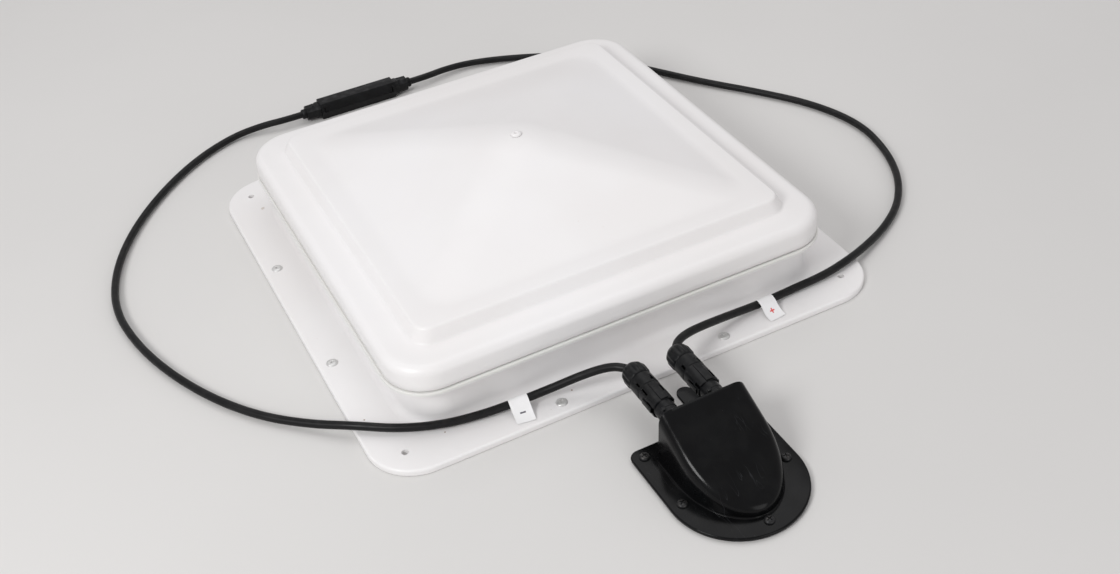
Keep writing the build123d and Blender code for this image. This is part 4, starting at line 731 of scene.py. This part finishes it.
# Housing screws: pan heads with a cross recess
crossScrew = {"places": [(-48, -296), (40, -296), (-48, -349.5), (40, -349.5), (-4, -393)], "z": 4.0,
              "turns": [12, 50, 33, 71, 20], "slots": [(4.6, 0.95, 2.0), (0.95, 4.6, 2.0)], "slotZ": 2.2,
              "profile": [(4.0, 0.0), (4.02, 0.5), (3.86, 1.15), (3.45, 1.72), (2.8, 2.12), (1.9, 2.34),
                          (0.9, 2.42), (0.02, 2.44)]}
screwHead = carved(meshFrom("screwHead", turned(crossScrew["profile"], (0, 0, 0))),
                   [bar((0, 0, crossScrew["slotZ"]), slot) for slot in crossScrew["slots"]])
screwTurns = []
for (x, y), turn in zip(crossScrew["places"], crossScrew["turns"]):
    place = Matrix.Translation(Vector((x, y, crossScrew["z"])) * mm)
    screwTurns.append(place @ Matrix.Rotation(radians(turn), 4, "Z"))
addPiece("entryScrews", copiesOf(screwHead, screwTurns), "base", "screw_black", ["entry_screws"])
print("housing screws set")

# Panel sockets: a rim against the hood's rear face, a sleeve behind it and a shank through the wall.
# The profile is (radius, way out from that face)
socket = {"z": 32.0, "places": {"minus": -23.5, "plus": 15.5}, "profile": [
    (0.02, -17.0), (5.6, -17.0), (6.0, -16.5), (6.0, 0.0), (9.4, 0.0), (9.9, 0.6), (10.0, 2.0), (9.7, 2.8),
    (9.0, 3.0), (8.45, 3.4), (8.25, 4.2), (8.25, 12.0), (8.0, 12.3), (8.0, 13.2), (8.25, 13.5), (8.25, 21.0),
    (0.02, 21.0)]}
socketShapes = [turned(socket["profile"], (x, housing["hoodRear"], socket["z"]), "y", count=64)
                for x in socket["places"].values()]
socketMesh = meshFrom("plugSockets", gathered(socketShapes))
addPiece("plugSockets", socketMesh, "base", "plug_black", ["panel_sockets"])

# Plug bodies: a round collar and a squarer grip, with windows, side latches, a rail, a bump and a pin.
# Sections are (y, half width, half height, squareness), windows (angle, reach, y, width, length)
plugBody = {
    "sections": [
        (-250.0, 9.1, 9.1, 2.0), (-250.5, 9.75, 9.7, 2.0), (-256.0, 9.8, 9.75, 2.0), (-262.4, 9.8, 9.7, 2.1),
        (-262.9, 9.35, 9.2, 2.3), (-264.0, 9.3, 9.0, 2.5), (-272.0, 9.3, 8.9, 2.7), (-282.6, 9.2, 8.8, 2.8),
        (-283.6, 8.9, 8.5, 2.8), (-284.0, 8.4, 8.0, 2.8)],
    "minusWindows": [
        (139, 8.6, -259.0, 1.5, 4.6), (137, 8.6, -268.6, 1.5, 7.6), (168, 8.4, -277.5, 3.6, 5.6),
        (62, 8.8, -258.0, 3.0, 5.0), (58, 8.6, -271.5, 2.2, 7.4), (176, 8.6, -282.5, 5.2, 4.0)],
    "plusWindows": [
        (139, 8.6, -260.0, 2.2, 5.4), (168, 8.4, -273.6, 3.0, 5.0), (150, 8.6, -281.4, 2.6, 6.0),
        (50, 8.8, -259.4, 3.0, 4.4), (48, 8.6, -277.0, 2.6, 8.0)],
    "railAt": (1.2, -273.4, 8.6), "railSize": (6.4, 20.0, 1.9), "railEdge": 0.5,
    "latchX": 9.7, "latchY": -275.4, "latchSize": (1.2, 13.0, 4.6), "latchEdge": 0.35,
    "bumpAt": (2.6, -257.4, 9.0), "bumpProfile": [(1.5, 0.0), (1.35, 0.35), (0.8, 0.55), (0.02, 0.6)],
    "pinAt": (-4.4, -291.2, 7.0),
    "pinProfile": [(1.9, -1.0), (1.9, 0.5), (1.6, 0.85), (0.9, 1.0), (0.02, 1.0)]}


def squared(share, power):
    return copysign(abs(share) ** (2 / power), share)


def oval(halfW, halfH, power, y, at, count=72):
    angles = [2 * pi * step / count for step in range(count)]
    return [(at[0] + halfW * squared(cos(angle), power), y, at[1] + halfH * squared(sin(angle), power))
            for angle in angles]


def windowAt(at, angle, reach, y, width, length, depth=5.0):
    turn = radians(angle)
    centre = Vector((at[0] + reach * cos(turn), y, at[1] + reach * sin(turn)))
    outward = Vector((cos(turn), 0, sin(turn)))
    across = Vector((-sin(turn), 0, cos(turn)))
    along = Vector((0, 1, 0))
    loops = []
    for side in (-1, 1):
        middle = centre + outward * side * depth / 2
        loops.append([tuple(middle + across * a * width / 2 + along * b * length / 2)
                      for a, b in ((-1, -1), (1, -1), (1, 1), (-1, 1))])
    return skin(loops)


def makePlug(pole, x, z):
    def beside(place):
        return x + place[0], place[1], z + place[2]

    core = meshFrom("plugBody", skin([oval(halfW, halfH, power, y, (x, z))
                                      for y, halfW, halfH, power in plugBody["sections"]]))
    shapes = [carved(core, [windowAt((x, z), *window) for window in plugBody[pole + "Windows"]])]
    rail = meshFrom("rail", bar(beside(plugBody["railAt"]), plugBody["railSize"]))
    shapes.append(rounded(rail, plugBody["railEdge"]))
    shapes.append(meshFrom("bump", turned(plugBody["bumpProfile"], beside(plugBody["bumpAt"]))))
    shapes.append(meshFrom("pin", turned(plugBody["pinProfile"], beside(plugBody["pinAt"]))))
    for offset in (-plugBody["latchX"], plugBody["latchX"]):
        latch = meshFrom("latch", bar(beside((offset, plugBody["latchY"], 0)), plugBody["latchSize"]))
        shapes.append(rounded(latch, plugBody["latchEdge"]))
    name = "plugBody" + pole.capitalize()
    addPiece(name, joined(name, shapes), "base", "plug_black", ["plug_body_" + pole], sharp=30)


# Cable nuts: rounded ribs, a smooth shoulder and a cone mouth round the cable.
# Sections are (radius, rib height, y)
cableNut = {"ribs": 12, "ribShape": 1.4, "sections": [
    (8.6, 0.0, -249.9), (9.2, 0.0, -249.7), (9.5, 0.1, -249.2), (9.6, 0.3, -248.2), (9.6, 0.7, -247.2),
    (9.6, 0.75, -243.0), (9.55, 0.75, -240.4), (9.35, 0.7, -239.0), (8.9, 0.55, -237.6), (8.2, 0.3, -236.2),
    (7.4, 0.1, -234.9), (6.9, 0.0, -234.3), (6.4, 0.0, -234.1), (6.0, 0.0, -234.4), (5.4, 0.0, -236.2),
    (4.4, 0.0, -238.6), (3.2, 0.0, -239.2)]}


def ribLoop(radius, rib, y, at, count=192):
    points = []
    for step in range(count):
        angle = 2 * pi * step / count
        reach = radius + rib * abs(cos(angle * cableNut["ribs"] / 2)) ** cableNut["ribShape"]
        points.append((at[0] + reach * cos(angle), y, at[1] + reach * sin(angle)))
    return points


def makeNut(pole, x, z):
    loops = [ribLoop(radius, rib, y, (x, z)) for radius, rib, y in cableNut["sections"]]
    addPiece("cableNut" + pole.capitalize(), meshFrom("cableNut", skin(loops)), "base", "plug_black",
             ["plug_nut_" + pole], sharp=50)


for pole, x in socket["places"].items():
    makePlug(pole, x, socket["z"])
for pole, x in socket["places"].items():
    makeNut(pole, x, socket["z"])
print("plugs made")

# Fuse holder: an eight-sided barrel, stepped caps and round collars, lying along X.
# Cap sections are (way along the cap, half, cut corner), grooves (centre, size)
fuseHolder = {
    "y": 312.0, "z": 9.0, "barrel": (-90.0, -7.0), "barrelHalfY": 10.0, "barrelHalfZ": 9.0,
    "barrelFlatY": 6.8, "barrelFlatZ": 0.5, "barrelEdge": 0.6,
    "grooves": [((-86.4, 303.2, 11.4), (0.9, 4.0, 4.6)), ((-84.6, 303.0, 9.0), (4.4, 3.4, 0.8)),
                ((-10.6, 303.2, 11.4), (0.9, 4.0, 4.6)), ((-12.4, 303.0, 9.0), (4.4, 3.4, 0.8)),
                ((-48.5, 302.0, 9.0), (66, 0.6, 0.4))],
    "caps": [(-89.0, -105.0), (-8.0, 8.0)],
    "capSections": [(0.0, 7.6, 3.6), (5.0, 7.6, 3.6), (5.4, 7.1, 3.4), (16.0, 6.9, 3.3)],
    "capEdge": 0.45, "slotAlong": 8.2, "slotY": (309.2, 314.8), "slotZ": 16.2, "slotSize": (3.0, 1.0, 1.6),
    "collar": [(5.15, 0.0), (5.2, 1.2), (4.9, 1.5), (4.9, 2.0), (5.2, 2.3), (5.15, 3.6), (4.7, 4.4),
               (4.1, 4.9), (3.5, 5.0)]}


def eightSided(x, halfY, halfZ, flatY, flatZ):
    corners = [(-flatY, -halfZ), (flatY, -halfZ), (halfY, -flatZ), (halfY, flatZ),
               (flatY, halfZ), (-flatY, halfZ), (-halfY, flatZ), (-halfY, -flatZ)]
    return [(x, fuseHolder["y"] + y, fuseHolder["z"] + z) for y, z in corners]


def makeBarrel():
    loops = [eightSided(x, fuseHolder["barrelHalfY"], fuseHolder["barrelHalfZ"], fuseHolder["barrelFlatY"],
                        fuseHolder["barrelFlatZ"]) for x in fuseHolder["barrel"]]
    barrel = rounded(meshFrom("holderBarrel", skin(loops)), fuseHolder["barrelEdge"], sharpAbove=20)
    return carved(barrel, [bar(centre, size) for centre, size in fuseHolder["grooves"]])


def makeCap(inner, outer):
    side = 1 if outer > inner else -1
    loops = [eightSided(inner + side * along, half, half, half - cut, half - cut)
             for along, half, cut in fuseHolder["capSections"]]
    cap = rounded(meshFrom("cap", skin(loops)), fuseHolder["capEdge"], sharpAbove=25)
    slotX = inner + side * fuseHolder["slotAlong"]
    return carved(cap, [bar((slotX, y, fuseHolder["slotZ"]), fuseHolder["slotSize"])
                        for y in fuseHolder["slotY"]])


def makeCollars():
    shapes = []
    for inner, outer in fuseHolder["caps"]:
        side = 1 if outer > inner else -1
        profile = [(radius, outer + side * along) for radius, along in fuseHolder["collar"]]
        shapes.append(turned(profile, (0, fuseHolder["y"], fuseHolder["z"]), "x"))
    return meshFrom("holderCollars", gathered(shapes))


capsMesh = joined("holderEnds", [makeCap(inner, outer) for inner, outer in fuseHolder["caps"]])
addPiece("holderBarrel", makeBarrel(), "base", "holder_black", ["holder_body"])
addPiece("holderEnds", capsMesh, "base", "holder_black", ["holder_caps"])
addPiece("holderCollars", makeCollars(), "base", "holder_black", ["holder_nuts"])
print("fuse holder made")

# Paper tags: one strip folded over each cable and following its run, its two halves together
tags = {
    "minus": {"cable": (-104.6, -200.7, 11.4), "run": (0.975, -0.16, 0.13), "width": 15.5, "drop": 1.3,
              "mark": "minus", "markTone": (44, 40, 58)},
    "plus": {"cable": (122.0, -199.6, 10.7), "run": (0.993, 0.103, -0.076), "width": 15.5, "drop": 0.6,
             "mark": "plus", "markTone": (224, 44, 34)}}
tagForm = {  # the line is (back, rise) from the cable's middle
    "line": [(-18.4, -4.55), (-16.0, -4.3), (-13.4, -3.7), (-11.0, -2.7), (-8.8, -1.3), (-7.0, 0.2),
             (-5.4, 1.5), (-4.2, 2.5)],
    "clearance": 0.4, "wrapAngles": range(125, -146, -15), "gap": (0.1, 0.16), "columns": 9, "curl": 0.35,
    "freeFrom": 5.0, "freeRun": 10.0}


def tagProfile(drop):
    reach = cableDiameter / 2 + tagForm["clearance"]
    tip = tagForm["line"][0][0]
    upper = [(back, rise - drop * (back / tip) ** 2) for back, rise in tagForm["line"]]
    wrap = [(reach * cos(radians(angle)), reach * sin(radians(angle))) for angle in tagForm["wrapAngles"]]
    shift, fall = tagForm["gap"]
    lower = [(back + shift, rise - fall) for back, rise in reversed(upper[:-1])]
    return upper + wrap + lower


def addTag(pole, tag):
    profile = tagProfile(tag["drop"])
    lengths = [0.0]
    for (y0, z0), (y1, z1) in zip(profile, profile[1:]):
        lengths.append(lengths[-1] + sqrt((y1 - y0) ** 2 + (z1 - z0) ** 2))
    run = Vector(tag["run"]).normalized()
    back = Vector((-run.y, run.x, 0)).normalized()
    rise = run.cross(back)
    columns = tagForm["columns"]
    points, faces, places = [], [], []
    for (behind, above), far in zip(profile, lengths):
        away = max(0.0, min(1.0, (-tagForm["freeFrom"] - behind) / tagForm["freeRun"]))
        level = Vector((run.x, run.y, run.z * (1 - away)))
        for column in range(columns):
            share = column / (columns - 1)
            curl = tagForm["curl"] * (2 * share - 1) ** 2 * away
            points.append(Vector(tag["cable"]) + back * behind + rise * above + Vector((0, 0, curl))
                          + level * (share - 0.5) * tag["width"])
            places.append((share * tag["width"], far))
    for row in range(len(profile) - 1):
        for column in range(columns - 1):
            first = row * columns + column
            faces.append((first, first + 1, first + columns + 1, first + columns))
    mesh = bpy.data.meshes.new("tag")
    mesh.from_pydata([point * mm for point in points], [], faces)
    layer = mesh.uv_layers.new(name="strip")
    for loop in mesh.loops:
        layer.data[loop.index].uv = places[loop.vertex_index]
    name = pole + "Tag"
    piece = addPiece(name, mesh, "base", "tag_paper", ["tag_" + pole], sharp=80)
    print(name, "strip length", round(lengths[-1], 1))
    return piece


# The polarity mark lies on the flat strip, in millimetres from one corner of it
polarityMark = {"at": (7.75, 8.6), "halfLong": 2.3, "halfWide": 0.62, "soft": 0.2, "uneven": 0.12,
                "grain": 2400, "cover": 0.92}


def markedPaper(name, look, mark, markTone):
    material = makeSurface(name, look)
    tree = material.node_tree
    shader = next(node for node in tree.nodes if node.type == "BSDF_PRINCIPLED")
    paper = shader.inputs["Base Color"].links[0].from_socket
    coordinates = tree.nodes.new("ShaderNodeUVMap")
    coordinates.uv_map = "strip"
    parts = tree.nodes.new("ShaderNodeSeparateXYZ")
    tree.links.new(coordinates.outputs[0], parts.inputs[0])
    uneven, soft = polarityMark["uneven"], polarityMark["soft"]
    ragged = between(tree, noise(tree, polarityMark["grain"], 3.0), *patchEdge, -uneven, uneven)

    def inside(place, centre, half):
        away = calc(tree, "SUBTRACT", calc(tree, "ADD", place, ragged), centre)
        return between(tree, calc(tree, "ABSOLUTE", away), half - soft, half + soft, 1.0, 0.0)

    def stroke(halfX, halfY):
        centreX, centreY = polarityMark["at"]
        return calc(tree, "MULTIPLY", inside(parts.outputs[0], centreX, halfX),
                    inside(parts.outputs[1], centreY, halfY))

    mask = stroke(polarityMark["halfLong"], polarityMark["halfWide"])
    if mark == "plus":
        mask = calc(tree, "MAXIMUM", mask, stroke(polarityMark["halfWide"], polarityMark["halfLong"]))
    tree.links.new(painted(tree, paper, mask, polarityMark["cover"], markTone), shader.inputs["Base Color"])
    return material


for pole, tag in tags.items():
    piece = addTag(pole, tag)
    piece.data.materials[0] = markedPaper(pole + "Paper", looks["tag_paper"], tag["mark"], tag["markTone"])
print("tags folded")

# Studio, in metres: a plain pale floor, a key light from the left, soft light above and in front.
# Each light is (place, diameter, power)
studio = {"floorHalf": 4.0, "floorZ": -0.0004, "aim": (0, 0, 0.04), "key": ((-1.64, -0.8, 1.42), 0.75, 20.0),
          "top": ((0.3, 0.7, 2.2), 2.4, 14.5), "front": ((0.5, -2.4, 0.7), 1.3, 7.0),
          "world": 0.48, "worldTone": (0.99, 0.97, 0.985, 1)}
floorLook = {"tone": (222, 221, 219), "patchTone": (218, 217, 215), "patchScale": 1.5, "rough": (0.8, 0.9),
             "grainScale": 300, "grain": 0.02}


def addFloor():
    reach = studio["floorHalf"]
    corners = [(-reach, -reach), (reach, -reach), (reach, reach), (-reach, reach)]
    mesh = bpy.data.meshes.new("floor")
    mesh.from_pydata([(x, y, studio["floorZ"]) for x, y in corners], [], [(0, 1, 2, 3)])
    mesh.materials.append(makeSurface("floorPaper", floorLook))
    floor = bpy.data.objects.new("floor", mesh)
    scene.collection.objects.link(floor)


def addLight(name, place, size, power):
    lamp = bpy.data.lights.new(name, "AREA")
    lamp.shape = "DISK"
    lamp.size = size
    lamp.energy = power
    holder = bpy.data.objects.new(name, lamp)
    holder.location = place
    holder.visible_camera = False
    holder.rotation_euler = (Vector(studio["aim"]) - Vector(place)).to_track_quat("-Z", "Y").to_euler()
    scene.collection.objects.link(holder)


addFloor()
for name in ("key", "top", "front"):
    addLight(name + "Light", *studio[name])
world = bpy.data.worlds.new("softRoom")
world.use_nodes = True
backdrop = next(node for node in world.node_tree.nodes if node.type == "BACKGROUND")
backdrop.inputs[0].default_value = studio["worldTone"]
backdrop.inputs[1].default_value = studio["world"]
scene.world = world
print("studio lit")
